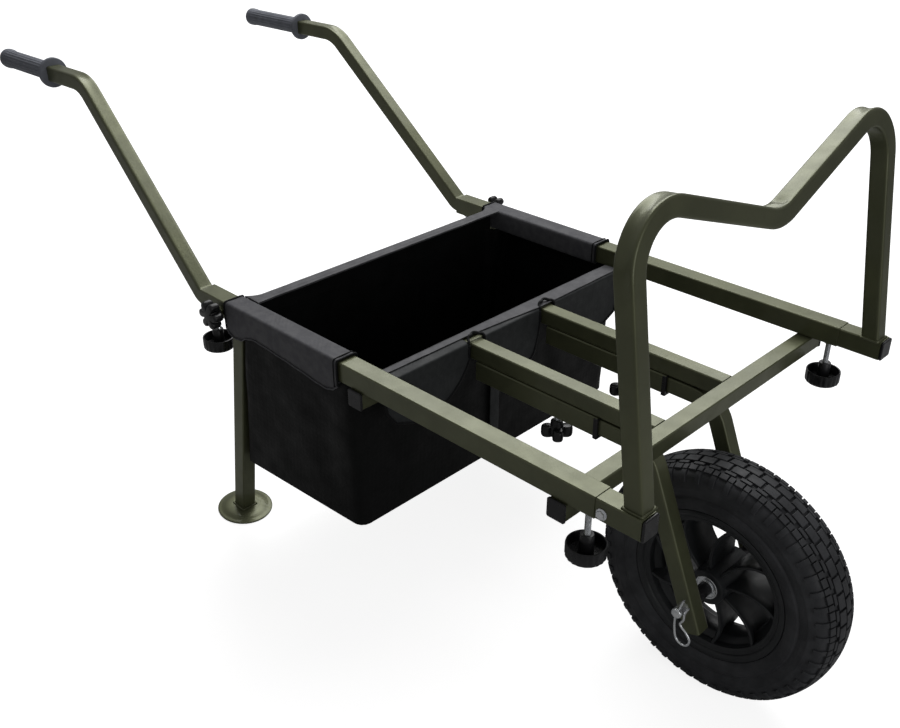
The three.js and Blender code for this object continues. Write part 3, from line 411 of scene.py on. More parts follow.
def bentTube(name, corners, radii, dish, across, pinchAt=None, pinch=0):
    section, stations = tubeSection(), bentStations(corners, radii)
    half, flat = stock["half"], stock["half"] - stock["corner"] + 1
    wall = half * 0.98                                         # beyond this a point is on the outer or inner wall
    points = []
    normal, tangentBefore = Vector(across).normalized(), stations[0][1]
    for place, tangent, inward, share in stations:
        normal = tangentBefore.rotation_difference(tangent) @ normal
        tangentBefore = tangent
        other = tangent.cross(normal)
        for a, b in section:
            spot = normal * a + other * b
            height = spot.dot(inward)
            face = max(0, 1 - ((spot - inward * height).length / flat) ** 2) ** 1.5
            if height < -wall:
                spot += inward * dish * share * face
            if pinchAt and height > wall:
                off = (place - Vector(pinchAt)).length
                lip = stock["lip"] * exp(-((off - stock["lipAt"]) / stock["lipWidth"]) ** 2)
                spot += inward * pinch * face * (exp(-(off / stock["pinchWidth"]) ** 2) - lip)
            points.append(place + spot)
    size = len(section)
    faces = gridFaces(len(stations), size, closed=True)
    faces += [tuple(range(size)), tuple(range(len(points) - size, len(points)))]
    obj = meshObject(name, points, faces=faces)
    tidyMesh(obj)
    return obj


def makeHoop():
    track, height = hoop["track"], hoop["height"]
    middle = height - track * tan(hoop["dip"])
    corners = [(0, -track, hoop["below"]), (0, -track, height), (0, 0, middle), (0, track, height),
               (0, track, hoop["below"])]
    lowest = middle + hoop["dipBend"] * (1 / cos(hoop["dip"]) - 1)
    obj = bentTube("bentHoop", corners, (hoop["bend"], hoop["dipBend"], hoop["bend"]), hoop["dish"], (1, 0, 0),
                   (0, 0, lowest), hoop["pinch"])
    obj.data.transform(Matrix.Translation((hoop["ahead"], 0, 0)) @ Matrix.Rotation(-hoop["lean"], 4, "Y"))
    edit(obj)
    bpy.ops.mesh.bisect(plane_co=(0, 0, hoop["foot"]), plane_no=(0, 0, 1), clear_inner=True, use_fill=True)
    leave()
    return settle(obj, "hoop_bar", smooth=40)


makeHoop()
for hand, side in hands.items():
    (cornerX, cornerZ), (topX, topZ) = handle["corner"], handle["top"]
    y = side * handle["track"]
    inner = y - side * handle["inset"]
    tube = bentTube(f"bentHandle_{hand}", [
        (handle["front"], y, cornerZ), (cornerX, y, cornerZ), (topX, inner, topZ),
        (topX - handle["run"], inner, topZ - handle["drop"])], handle["bends"], handle["dish"], (0, 1, 0))
    settle(tube, f"handle_tube_{hand}", smooth=40)
    y, z = side * forkArm["track"], forkArm["z"]
    lean = atan2(wheelAt.x - forkArm["corner"], forkArm["down"])
    tail = (wheelAt.x + forkArm["tail"] * sin(lean), y, z - forkArm["down"] - forkArm["tail"] * cos(lean))
    tube = bentTube(f"bentFork_{hand}", [(forkArm["rear"], y, z), (forkArm["corner"], y, z), tail],
                    (forkArm["bend"],), forkArm["dish"], (0, 1, 0))
    settle(tube, f"fork_arm_{hand}", smooth=40)
print("bent tubes made")

# Weld beads: short overlapping puddles round a joint
weld = {"radius": 1.7, "pitch": 2.2, "swell": 0.35, "rough": 0.25, "lump": 0.3}


def weldBead(name, body, loop):
    route = []
    for a, b in zip(loop, loop[1:] + loop[:1]):
        count = max(2, round((b - a).length / (weld["pitch"] / 2)))
        route += [a.lerp(b, k / count) for k in range(count)]
    bead = wire(name, route, weld["radius"], 2, cyclic=True)
    middle = sum(route, Vector()) / len(route)
    for vertex in bead.data.vertices:
        nearest = min(range(len(route)), key=lambda k: (route[k] - vertex.co).length_squared)
        rough = weld["rough"] * noise.noise(vertex.co * weld["lump"] + middle)
        share = 1 + weld["swell"] * (0.5 + 0.5 * cos(pi * nearest)) + rough
        vertex.co = route[nearest] + (vertex.co - route[nearest]) * share
    return settle(bead, body=body, slot="olive_coat", smooth=60)


feet = {"steps": 72, "weldHeight": 0.0085, "weldGap": 0.6,
        "profile": ((0, 0), (44.6, 0), (45.6, 0.5), (46, 1.5), (45.8, 2.6), (44.9, 3.2), (42.5, 3.4), (40, 3.7),
                    (37.6, 4.5), (34, 6.2), (30, 7.2), (25, 7.8), (20, 8), (0, 8))}
legs = {"x": -679, "track": 283, "half": 12.5, "weldHalf": 13, "weldZ": -31.2}
square = ((-1, -1), (1, -1), (1, 1), (-1, 1))


def footDisc(hand):
    low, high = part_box(f"foot_disc_{hand}")
    x, y, z = (low[0] + high[0]) / 2, (low[1] + high[1]) / 2, low[2]
    disc = turned(f"footPlate_{hand}", feet["profile"], feet["steps"])
    disc.data.transform(Matrix.Translation((x, y, z)) @ Matrix.Scale(0.001, 4))
    settle(disc, f"foot_disc_{hand}", drawn=False)
    top = toRow.inverted() @ Vector((x, y, z + feet["weldHeight"]))
    ahead = toRow.inverted().to_3x3() @ Vector((0.001, 0, 0))  # the bead lies level, and the drawing is tilted
    half = legs["half"] + feet["weldGap"]
    weldBead(f"footWeld_{hand}", "frame", [top + ahead * a * half + Vector((0, b * half, 0)) for a, b in square])


def squareRing(x, y, z, half):
    return [Vector((x + a * half, y + b * half, z)) for a, b in square]


for hand, side in hands.items():
    footDisc(hand)
    legRing = squareRing(legs["x"], side * legs["track"], legs["weldZ"], legs["weldHalf"])
    hoopRing = squareRing(hoop["ahead"], side * hoop["track"], hoop["weldZ"], hoop["weldHalf"])
    weldBead(f"legWeld_{hand}", "frame", legRing)
    weldBead(f"hoopWeld_{hand}", "hoop", hoopRing)
print("feet and welds made")


# Wheel: a tyre with raised tread blocks, and a moulded rim whose blades join the hub to the barrel

tyre = {
    "pitches": 48, "columns": 12, "crown": 179.9, "fall": 11, "half": 41.5,
    "rows": (0, 1, 5.5, 10, 14, 15.6, 20.4, 22, 26.2, 30.4),
    "shoulder": ((172.1, 33.6), (169.4, 36.3), (165.6, 38.2), (161.2, 39.2)),
    "wall": ((156.6, 40.2), (153.8, 40.9), (152.6, 41.5), (151.2, 41.5), (150, 41), (146, 40.8), (142, 40),
             (139.4, 38.8), (138, 38.6), (137, 39.4), (135.4, 41), (132, 41.4), (127, 40.9), (122, 39.2),
             (119, 37.6), (117.4, 36.4)),
    "bead": ((117.1, 31.4), (102.6, 31.2), (102.6, 21.4), (141, 36.2), (163, 33)),
    "blocks": ((1, 14, "#######..###"), (15.6, 20.4, "..########.."), (22, 30.4, "####.######.")),
    "ribs": (30.4, 39.3, "####........"),
    "treadFrom": 160, "blockHeight": 3.6, "ribHeight": 2.4, "chamfer": 0.4,
}


def crownAt(y):
    return tyre["crown"] - tyre["fall"] * (y / tyre["half"]) ** 2


def isRaised(centre, low, high, pattern):
    if not low < abs(centre.y) < high or hypot(centre.x, centre.z) < tyre["treadFrom"]:
        return False
    turn = atan2(centre.z, centre.x) / (2 * pi) * tyre["pitches"] + (0.5 if centre.y < 0 else 0)
    return pattern[int(floor(turn * tyre["columns"])) % tyre["columns"]] == "#"


def makeTyre():
    half = [(crownAt(y), y) for y in tyre["rows"]] + [*tyre["shoulder"], *tyre["wall"], *tyre["bead"]]
    profile = [(r, -y) for r, y in reversed(half[1:])] + half
    obj = turned("treadedTyre", profile, tyre["pitches"] * tyre["columns"], "Y", closed=True)
    bands = [(*band, tyre["blockHeight"]) for band in tyre["blocks"]] + [(*tyre["ribs"], tyre["ribHeight"])]
    for low, high, pattern, height in bands:
        bare = crownAt(low) + 1                                # faces further out than this are raised already
        chooseFaces(obj, lambda c, n: isRaised(c, low, high, pattern) and hypot(c.x, c.z) < bare
                    and n.x * c.x + n.z * c.z > 0)
        bpy.ops.mesh.extrude_region_shrink_fatten(
            TRANSFORM_OT_shrink_fatten={"value": height - tyre["chamfer"]})
        bpy.ops.mesh.inset(thickness=tyre["chamfer"], depth=tyre["chamfer"])
        leave()
    obj.data.transform(Matrix.Translation(wheelAt))
    return settle(obj, "tyre", smooth=32)


rim = {
    "steps": 96, "hubSteps": 64,
    "well": ((116.4, 36.6), (116.6, 34.4), (113.4, 32.8), (103, 32), (101.8, 31), (101.8, 21), (92, 13.5), (92, 0)),
    "face": ((87.8, 0), (87.8, 12), (90, 15.5), (95.2, 18.6), (97.2, 21), (97.4, 27.5), (98.4, 30.5), (100.8, 31.6),
             (104.6, 31.9), (106.4, 33), (107.2, 35), (109, 36.3), (112, 36.8), (115, 37.2)),
    "hub": ((9, 0), (9, 27.6), (17.7, 28), (17.7, 38.8), (19, 39), (24.6, 39), (26, 38.2), (26.5, 36.6), (26.5, 24),
            (28.4, 8), (28.8, 0)),
}
blades = {"count": 9, "root": 26, "tip": ((0, 89), (12, 89), (18.6, 96.2), (21, 98.2), (32, 98.6)), "halfDepth": 30,
          "thick": 4.2, "curl": radians(17), "twist": radians(1), "start": radians(96), "rounding": 1.1}


def makeRim():
    well, face = rim["well"], rim["face"]
    loop = [*reversed(well), *reversed(face)] + [(r, -y) for r, y in face[1:] + well[:-1]]
    barrel = turned("barrel", loop, rim["steps"], "Y", closed=True)
    loop = [*rim["hub"]] + [(r, -y) for r, y in reversed(rim["hub"][1:-1])]
    hub = turned("hub", loop, rim["hubSteps"], "Y", closed=True)
    blade = gridPlate("blade", 12, 8)
    for vertex in blade.data.vertices:
        out, across = (vertex.co.x + 1) / 2, vertex.co.y
        aside = blades["halfDepth"] * across
        radius = blades["root"] + out * (valueAt(blades["tip"], abs(aside)) - blades["root"])
        turn = -blades["curl"] * out * out
        point = Vector((radius * cos(turn), aside, radius * sin(turn)))
        vertex.co = Matrix.Rotation(blades["twist"] * across, 3, "Y") @ point
    thicken(blade, blades["thick"], 0)
    applyModifier(blade, "BEVEL", width=blades["rounding"], segments=3, limit_method="ANGLE", angle_limit=radians(50))
    tidyMesh(blade)
    fan = []
    for k in range(blades["count"]):
        fan.append(bpy.data.objects.new(f"blade{k}", blade.data.copy()))
        bpy.context.scene.collection.objects.link(fan[k])
        fan[k].data.transform(Matrix.Rotation(-blades["start"] - 2 * pi * k / blades["count"], 4, "Y"))
    bpy.data.objects.remove(blade)
    whole = joinAll("bladedRim", [barrel, hub, *fan])
    whole.data.transform(Matrix.Translation(wheelAt))
    return settle(whole, "wheel_rim", smooth=35)


bearing = {"steps": 56,
           "profile": ((17.5, 28.2), (17.5, 38.9), (17.1, 39.3), (15.2, 39.3), (14.8, 38.7), (14.7, 37.7), (11, 37.7),
                       (10.8, 38.9), (10.4, 39.3), (8.1, 39.3), (7.7, 38.9), (7.7, 28.2))}
makeTyre()
makeRim()
for hand, side in hands.items():
    ring = turned(f"bearingRing_{hand}", [(r, side * y) for r, y in bearing["profile"]], bearing["steps"], "Y",
                  closed=True)
    ring.data.transform(Matrix.Translation(wheelAt))
    settle(ring, f"hub_bearing_{hand}")
print("wheel made")

# Inner tube: hidden in the casing, with its valve stem through the rim
cadNodes["inner_tube"].data.materials.clear()
cadNodes["inner_tube"].data.materials.append(finishOf["tyre_rubber"])


# Spring clip through the axle's near end

clip = {"wire": 1.6, "loop": 44, "y": -106.5,
        "route": ((0.15, 0.53), (0.07, 0.25), (0, 0), (-0.06, -0.21), (-0.06, -0.5), (-0.02, -0.8), (0.06, -1.03),
                  (0.25, -1.14), (0.45, -1.06), (0.51, -0.84), (0.38, -0.64), (0.13, -0.42), (0.22, -0.2),
                  (0.23, 0.02), (0.27, 0.17), (0.34, 0.34))}
clipRoute = smoothRoute([(wheelAt.x + x * clip["loop"], clip["y"], wheelAt.z + z * clip["loop"])
                         for x, z in clip["route"]], 8)
settle(wire("springClip", clipRoute, clip["wire"], 4), "axle_clip", smooth=60)


# Hand grips: lengthwise ribs, a round flange next to the tube and a rolled end

grip = {"from": 104, "length": 174, "fall": 4, "ribs": 20, "ribDepth": 0.8, "ribStart": 10, "ribEnd": 158,
        "ribFade": 6, "steps": 120,
        "profile": ((0, 0), (23.6, 0), (24.6, 0.6), (25, 1.8), (25, 6), (24.5, 7.3), (23.4, 8), (17.4, 8.4),
                    (16.2, 9.4), (15.6, 11), (15.5, 20), (15.5, 80), (15.5, 140), (15.6, 152), (16.1, 156),
                    (16.7, 159), (16.8, 167), (16.3, 171), (14.8, 173.2), (12.4, 174), (0, 174))}


def makeGrip(hand):
    obj = turned(f"handGrip_{hand}", grip["profile"], grip["steps"])
    for vertex in obj.data.vertices:
        z = vertex.co.z
        if grip["ribStart"] + 1 < z < grip["ribEnd"]:
            fade = min(1, (z - grip["ribStart"]) / grip["ribFade"], (grip["ribEnd"] - z) / grip["ribFade"])
            turn = atan2(vertex.co.y, vertex.co.x)
            pressIn(vertex, grip["ribDepth"] * fade * (0.5 - 0.5 * cos(grip["ribs"] * turn)) ** 0.7)
    (topX, topZ), run = handle["top"], grip["from"]
    drop = grip["fall"] * run / (run + grip["length"])         # the handle's end falls this much before the grip
    start = Vector((topX - run, hands[hand] * (handle["track"] - handle["inset"]), topZ - drop))
    turnTo = Vector((0, 0, 1)).rotation_difference(Vector((-run, 0, -drop)).normalized()).to_matrix().to_4x4()
    obj.data.transform(Matrix.Translation(start) @ turnTo)
    return settle(obj, f"grip_{hand}", smooth=50)


for hand in hands:
    makeGrip(hand)
print("clip and grips made")


# Clamping knobs and their threaded studs

cup = {"flutes": 20, "fluteDepth": 0.9, "fluteTop": -0.8, "fluted": 24, "steps": 120,
       "profile": ((0, -20), (19, -20), (22.4, -19.4), (24.2, -18), (25, -15.8), (25, -9), (25, -1.6), (24.6, -0.5),
                   (23.7, 0), (22.9, -0.3), (22.4, -1.2), (22, -14.8), (20, -15.4), (9.6, -15.4), (9.2, -14),
                   (8.9, 0), (8.6, 12.2), (7.9, 13), (4.4, 13), (4.2, 11), (0, 11))}
star = {"radius": 22.5, "root": 11.5, "thick": 17, "lift": 3, "points": 180, "width": {4: 0.72, 6: 0.86},
        "edge": ((0, 3.6), (0.03, 2.2), (0.09, 1), (0.18, 0.3), (0.3, 0), (0.72, 0), (0.84, 0.4), (0.93, 1.3),
                 (0.98, 2.6), (1, 4)),
        "bossSteps": 40, "lowBoss": ((0, 1.5), (6.8, 1.5), (7.8, 0.8), (8, -0.4), (9.5, -3.2), (0, -3.2))}
thread = {"radius": 4, "root": 3.35, "pitch": 1.25, "start": 0.4, "rise": 0.42, "crest": 0.62, "end": 1.04,
          "steps": 20}


def cupKnob(name):
    obj = turned(name, cup["profile"], cup["steps"])
    for vertex in obj.data.vertices:
        below = cup["fluteTop"] - vertex.co.z
        if hypot(vertex.co.x, vertex.co.y) > cup["fluted"] and below > 0:
            wave = 0.5 - 0.5 * cos(cup["flutes"] * atan2(vertex.co.y, vertex.co.x))
            pressIn(vertex, cup["fluteDepth"] * wave ** 2 * min(1, below / 2))
    return obj


def starKnob(name, lobes, neck, start=0.0):
    count, spacing = star["points"], pi / lobes
    points = []
    for z, inset in star["edge"]:
        for k in range(count):
            turn = 2 * pi * k / count
            off = abs((turn - start + spacing) % (2 * spacing) - spacing) / spacing
            lobe = max(0, 1 - (off / star["width"][lobes]) ** 2.6) ** 0.75
            radius = star["root"] + (star["radius"] - star["root"]) * lobe - inset
            points.append((radius * cos(turn), radius * sin(turn), -star["lift"] - z * star["thick"]))
    rings = len(star["edge"])
    faces = gridFaces(rings, count, closed=True)
    faces += [tuple(range(count)), tuple(range((rings - 1) * count, rings * count))]
    obj = meshObject(name, points, faces=faces)
    tidyMesh(obj)
    tallBoss = [(0, neck), (7, neck), (7.8, neck - 0.8), (8, neck - 2), (9.5, -3.2), (0, -3.2)]
    boss = turned(name + "Boss", tallBoss if neck > 2 else star["lowBoss"], star["bossSteps"])
    return joinAll(name, [obj, boss])


def threadedStud(name, length):
    root, crest = thread["root"], thread["radius"]
    profile = [(0, 0), (root, 0)]
    for k in range(int(length / thread["pitch"]) - 1):
        z = thread["start"] + k * thread["pitch"]
        profile += [(root, z), (crest, z + thread["rise"]), (crest, z + thread["crest"]), (root, z + thread["end"])]
    profile += [(root, length - 0.2), (root - 0.6, length), (0, length)]
    return turned(name, profile, thread["steps"])


def clamp(name, knob, place, turn=0.0):
    where = Matrix.Translation(place) @ Matrix.Rotation(turn, 4, "X")
    knob.data.transform(where)
    settle(knob, f"{name}_knob", smooth=40)
    # its stud runs along the knob's axis, as long as the CAD's
    low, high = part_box(f"{name}_stud")
    middle = toRow.inverted() @ ((Vector(low) + Vector(high)) / 2)
    axis = (where.to_3x3() @ Vector((0, 0, 1))).normalized()
    reach = [(toRow.inverted() @ vertex.co - middle).dot(axis) for vertex in cadNodes[f"{name}_stud"].data.vertices]
    stud = threadedStud(f"{name}_thread", max(reach) - min(reach))
    stud.data.transform(Matrix.Translation(middle + axis * min(reach)) @ Matrix.Rotation(turn, 4, "X"))
    settle(stud, f"{name}_stud", smooth=30)


knobPlaces = {"front": (-17, 285, -80), "rear": (-752, 285, -80), "fork": (-228, 80, -103.6),
              "side": (-711, 307, -17)}
for hand, side in hands.items():
    places = {end: (x, side * y, z) for end, (x, y, z) in knobPlaces.items()}
    for end in ("front", "rear"):
        clamp(f"{end}_clamp_{hand}", cupKnob(f"cupKnob_{end}_{hand}"), places[end])
    clamp(f"fork_clamp_{hand}", starKnob(f"forkStar_{hand}", 4, 6, pi / 4), places["fork"])
    clamp(f"side_clamp_{hand}", starKnob(f"sideStar_{hand}", 6, 0), places["side"], side * pi / 2)
print("knobs made")


# Bag: a sewn tub of coated cloth that hangs from two sleeves, a rear hem and the rear cross tube

bag = {
    "front": -414.1, "rear": -679, "panel": 297, "legSide": 265.5, "top": -33.3, "panelBack": -661.4,
    "frontDrop": 274, "rearDrop": 288, "sag": 12, "taper": 7, "panelLean": 37, "rearLean": 11,
    "cornerFront": 16, "cornerRear": 12, "fold": 5, "levels": 44, "around": 240, "floorRings": 12, "cloth": 1.8,
    "hang": 3.4, "hangGrain": Vector((0.018, 0.018, 0.004)), "dent": 1.8, "dentGrain": 0.022,
}


def bagOutline(level):
    # the tub's outline at a share of its depth: each side narrows behind, where the leg stands beside it
    front = bag["front"]
    panel = bag["panel"] - bag["taper"] * level
    back = bag["panelBack"] - bag["panelLean"] * level
    rear = bag["rear"] - bag["rearLean"] * level
    inner, fold = bag["legSide"], bag["fold"]
    half = [Vector((front, 0))]

    def corner(x, y, radius, fromTurn, toTurn, steps):
        for k in range(steps + 1):
            turn = radians(fromTurn + (toTurn - fromTurn) * k / steps)
            half.append(Vector((x + radius * cos(turn), y + radius * sin(turn))))
    corner(front - bag["cornerFront"], panel - bag["cornerFront"], bag["cornerFront"], 0, 90, 6)
    corner(back + fold, panel - fold, fold, 90, 180, 3)
    corner(back - fold, inner + fold, fold, 360, 270, 3)
    corner(rear + bag["cornerRear"], inner - bag["cornerRear"], bag["cornerRear"], 90, 180, 5)
    half.append(Vector((rear, 0)))
    return half + [Vector((p.x, -p.y)) for p in reversed(half[1:-1])]


def evenly(loop, count):
    # points at even steps round a loop, so that the cloth's grid lies straight
    spans = [(loop[(k + 1) % len(loop)] - loop[k]).length for k in range(len(loop))]
    whole = sum(spans)
    points, k, gone = [], 0, 0.0
    for step in range(count):
        want = whole * step / count
        while gone + spans[k] < want:
            gone += spans[k]
            k += 1
        a, b = loop[k], loop[(k + 1) % len(loop)]
        points.append(a.lerp(b, (want - gone) / max(spans[k], 1e-9)))
    return points


def clothFold(point, level):
    # long soft folds that hang from the top and fade at the seams, and shallow dents
    hang = sin(pi * min(1, level * 1.05))
    long = noise.noise(point * bag["hangGrain"] + Vector((3.1, 0, 7)))
    dents = noise.noise(point * bag["dentGrain"] + Vector((0, 5, 1)))
    return hang * (bag["hang"] * long + bag["dent"] * dents)


def bagFoot(x):
    # the floor's height, which falls towards the rear
    share = (bag["front"] - x) / (bag["front"] - bag["rear"])
    return -(bag["frontDrop"] + (bag["rearDrop"] - bag["frontDrop"]) * share)


def makeBag():
    points, levels, count = [], bag["levels"], bag["around"]
    for ring in range(levels + 1):
        level = ring / levels
        for p in evenly(bagOutline(level), count):
            points.append(Vector((p.x, p.y, bag["top"] + (bagFoot(p.x) - bag["top"]) * level)))
    edge = points[levels * count:]
    middle = Vector(((bag["front"] + bag["rear"]) / 2, 0, 0))
    for ring in range(1, bag["floorRings"] + 1):               # floor, ring by ring to its middle
        share = 1 - ring / (bag["floorRings"] + 0.5)
        for p in edge:
            spot = middle + (Vector((p.x, p.y, 0)) - middle) * share
            droop = bag["sag"] * (1 - share ** 3)
            points.append(Vector((spot.x, spot.y, bagFoot(spot.x) - droop)))
    rings = levels + 1 + bag["floorRings"]
    faces = gridFaces(rings, count, closed=True) + [tuple(range((rings - 1) * count, rings * count))]
    obj = meshObject("clothBag", points, faces=faces)
    tidyMesh(obj)
    shifts = []
    for vertex in obj.data.vertices:
        level = (bag["top"] - vertex.co.z) / (bag["frontDrop"] + bag["top"])
        shifts.append(vertex.normal * clothFold(vertex.co, max(0, level)))
    for vertex, shift in zip(obj.data.vertices, shifts):
        vertex.co += shift
    thicken(obj, bag["cloth"])
    return settle(obj, "bag", smooth=60)


def sewOn(obj, finish=None):
    # cloth that the frame carries
    return settle(obj, body="frame", slot="bag_cloth", smooth=60, finish=finish)


def piping(name, points, radius=1.5, finish=bindingTape):
    return sewOn(wire(name, points, radius), finish)


makeBag()

# Sleeves: cloth wrapped round each rail, open behind for the leg
sleeve = {"outer": 18, "corner": 5, "top": 3, "back": -697, "front": -436, "stations": 60, "cloth": 1.6,
          "track": 285, "legX": -661, "legClear": 15, "around": 0.16, "area": 0.0375, "swell": 0.5, "sag": 0.8,
          "under": ((-18.3, -12), (-18, -22), (-17.6, -32.6), (-16, -33), (-6, -33.2), (6, -33.2), (14, -33.3),
                    (15.8, -33.6)),
          "foot": ((-697, 40), (-690, 47), (-678, 50.5), (-662, 49), (-645, 40), (-628, 36), (-600, 37.5),
                   (-560, 40.5), (-520, 44), (-480, 48.5), (-462, 49.5), (-448, 46), (-440, 40), (-436, 36)),
          "bindings": (("front", -436, 1.5), ("second", -443, 1.0), ("back", -697, 1.5))}


def lowerEdge(x):
    for (x0, z0), (x1, z1) in zip(sleeve["foot"], sleeve["foot"][1:]):
        if x <= x1:
            t = (x - x0) / (x1 - x0)
            return -(z0 + (z1 - z0) * t * t * (3 - 2 * t))
    return -sleeve["foot"][-1][1]


def sleeveSection(x, side):
    # from the outer side's lower edge, up, over the rail and down inside, and back under it
    outer, corner, top, foot = sleeve["outer"], sleeve["corner"], sleeve["top"], lowerEdge(x)
    sag = sleeve["sag"] * noise.noise(Vector((x * 0.02, side, 0)))

    def arc(u, fromTurn):
        turns = [radians(fromTurn + 90 * q / 4) for q in range(5)]
        return [(u + corner * cos(turn), top - corner + corner * sin(turn)) for turn in turns]
    section = [(outer - 0.6, foot)]
    section += [(outer + (sleeve["swell"] + sag) * sin(pi * q / 5), foot + (-corner - 1 - foot) * q / 5)
                for q in range(1, 5)]
    section += arc(outer - corner, 0)
    section += [(u, top - 0.6 * (1 - (u / 12) ** 2) + 0.4 * sag) for u in (8, 3, -3, -8)]
    section += arc(corner - outer, 90)
    return section + [*sleeve["under"]]


def makeSleeve(hand):
    side = hands[hand]
    outer, track, back, front = sleeve["outer"], sleeve["track"], sleeve["back"], sleeve["front"]
    points = []
    for k in range(sleeve["stations"] + 1):
        x = back + (front - back) * k / sleeve["stations"]
        section = sleeveSection(x, side)
        points += [(x, side * (track + u), z) for u, z in section]
    obj = meshObject(f"railSleeve_{hand}", points, faces=gridFaces(sleeve["stations"] + 1, len(section)))
    edit(obj)
    bpy.ops.mesh.normals_make_consistent(inside=False)
    leave()
    over = [face for face in obj.data.polygons if face.center.z > 2 and abs(abs(face.center.y) - track) < 5]
    if over and over[0].normal.z < 0:
        obj.data.flip_normals()
    chooseFaces(obj, lambda c, n: c.x < sleeve["legX"] and c.z < -32.2 and abs(c.y) < 300
                and abs(abs(c.y) - legs["track"]) < sleeve["legClear"])
    bpy.ops.mesh.delete(type="FACE")
    leave()
    thicken(obj, sleeve["cloth"])
    applyModifier(obj, "SUBSURF", levels=1, render_levels=1)
    # the sleeve and its lower binding take the cloth painted a paler grey: painted light from above
    settle(obj, f"bag_sleeve_{hand}", smooth=60, finish=sleeveClothPaintedLight)
    edge = [(x, side * (track + outer + 0.2), lowerEdge(x)) for x in
            [back + (front - back) * k / 80 for k in range(81)]]
    piping(f"sleeveBinding_{hand}", edge, 1.3, sleeveClothPaintedLight)
    for label, x, radius in sleeve["bindings"]:
        ring = [(x, side * (track + u), z) for u, z in (
            (outer, lowerEdge(x)), (outer + 0.3, -20), (outer, -2), (outer - 1.5, 1.5), (outer - 5, 3.1),
            (5 - outer, 3.1), (1.5 - outer, 1.5), (-outer, -2), (-outer, -30))]
        piping(f"sleeveEdge_{label}_{hand}", smoothRoute(ring, 5), radius)


for hand in hands:
    makeSleeve(hand)


# Hem along the rear, folded over a stiffener, and the tops of the tub's two walls between the rails
hem = {"half": 268, "deep": 21, "thick": 4.6, "cloth": 3.4, "seams": (5, 15.5), "puff": 0.9, "stitch": 0.8,
       "wave": 0.5, "flare": 13, "flareRun": 26}
walls = {"rearWallTop": (bag["rear"] + 0.3, -40, 3.4, "rearHem"),
         "frontWallTop": (-414.6, -42, -27.4, "cross_tube_rear")}


def makeHem():
    obj = gridPlate("rearHem", 28, 120)
    for vertex in obj.data.vertices:
        across, y = (vertex.co.x + 1) / 2 * hem["deep"], vertex.co.y * hem["half"]
        puff = hem["puff"] * (1 - ((across - hem["deep"] / 2) / (hem["deep"] / 2)) ** 4)
        stitch = sum(hem["stitch"] * exp(-((across - seam) / 0.8) ** 2) for seam in hem["seams"])
        wave = hem["wave"] * noise.noise(Vector((y * 0.02, across * 0.05, 2)))
        nearEnd = max(0, (abs(y) - hem["half"] + hem["flareRun"]) / hem["flareRun"])
        flare = hem["flare"] * nearEnd ** 2 * (1 - across / hem["deep"])
        vertex.co = Vector((bag["rear"] + across - flare, y, hem["thick"] - hem["puff"] + puff - stitch + wave))
    thicken(obj, hem["cloth"])
    applyModifier(obj, "BEVEL", width=1.2, segments=3, limit_method="ANGLE", angle_limit=radians(60))
    # the hem takes the cloth painted mid grey: painted light from above
    settle(obj, body="frame", slot="bag_cloth", smooth=50, finish=hemClothPaintedLight)


makeHem()
for name, (x, low, high, carrier) in walls.items():
    obj = gridPlate(name, 90, 10)
    for vertex in obj.data.vertices:
        y, z = vertex.co.x * hem["half"], low + (vertex.co.y + 1) / 2 * (high - low)
        vertex.co = Vector((x + 0.7 * noise.noise(Vector((0, y * 0.02, z * 0.03))), y, z))
    thicken(obj, bag["cloth"], 0)
    sewOn(obj)

# Front strip over the rear cross tube, and three stiff flaps that hang down its face between the inner rails
strip = {"back": -412, "top": -26.9, "half": 265, "cloth": 1.2,
         "front": ((-265, -402), (-95, -400), (0, -393), (62, -386.5), (265, -388))}
flap = {"top": -27.7, "tubeFace": -383.9, "foot": -105, "lean": 9, "ripple": 1.6, "cloth": 1.6,
        "rows": 40, "over": 8, "columns": 60}
outerCut = ((0, 0), (0.6, 3), (0.85, 16), (1, 46))
innerCut = ((0, 0), (0.3, 1), (0.45, 8), (0.65, 22), (0.82, 39), (0.93, 54), (1, 74))
middleCut = ((0, 0), (0.3, 1), (0.5, 5), (0.7, 12), (0.86, 20), (0.95, 29), (1, 44))
flaps = {             # span, how far its right and left edges draw in at a share of the drop, cut length, cut area
    "near": (-265, -96.5, outerCut, innerCut, 0.098, 0.0143),
    "middle": (-62.5, 62.5, middleCut, middleCut, 0.088, 0.0097),
    "far": (96.5, 265, innerCut, outerCut, 0.083, 0.012),
}


def makeStrip():
    count, points, back, top = 120, [], strip["back"], strip["top"]
    for k in range(count + 1):
        y = -strip["half"] + 2 * strip["half"] * k / count
        wave = 0.4 * noise.noise(Vector((y * 0.03, 0, 4)))
        front = valueAt(strip["front"], y)
        section = [(back - 1.6, -31), (back - 1.2, -28.6)]
        section += [(back + (front - back) * q / 6, top + 0.5 * sin(pi * q / 6)) for q in range(7)]
        points += [(x, y, z + wave) for x, z in section]
    obj = meshObject("frontStrip", points, faces=gridFaces(count + 1, len(section)))
    turnToFace(obj, 2)
    thicken(obj, strip["cloth"], 1)
    # the strip takes the hem's cloth, painted mid grey: painted light from above
    return sewOn(obj, hemClothPaintedLight)


def flapPoint(y, down):
    # over the cross tube's top from the strip's front edge, round its edge, then down with a slight lean
    face, top = flap["tubeFace"], flap["top"]
    front = valueAt(strip["front"], max(-strip["half"], min(strip["half"], y))) - 2
    route = [(front, top), (face - 3, top - 0.1), (face - 0.6, top - 1.6), (face, top - 4.6)]
    if down <= 0:
        k = (1 + down) * 3
        low = min(2, int(k))
        (x0, z0), (x1, z1) = route[low], route[low + 1]
        return x0 + (x1 - x0) * (k - low), z0 + (z1 - z0) * (k - low)
    z = route[-1][1] + (flap["foot"] - route[-1][1]) * down
    ripple = flap["ripple"] * down * noise.noise(Vector((y * 0.02, down * 1.5, 1)))
    return face + flap["lean"] * down * down + ripple, z


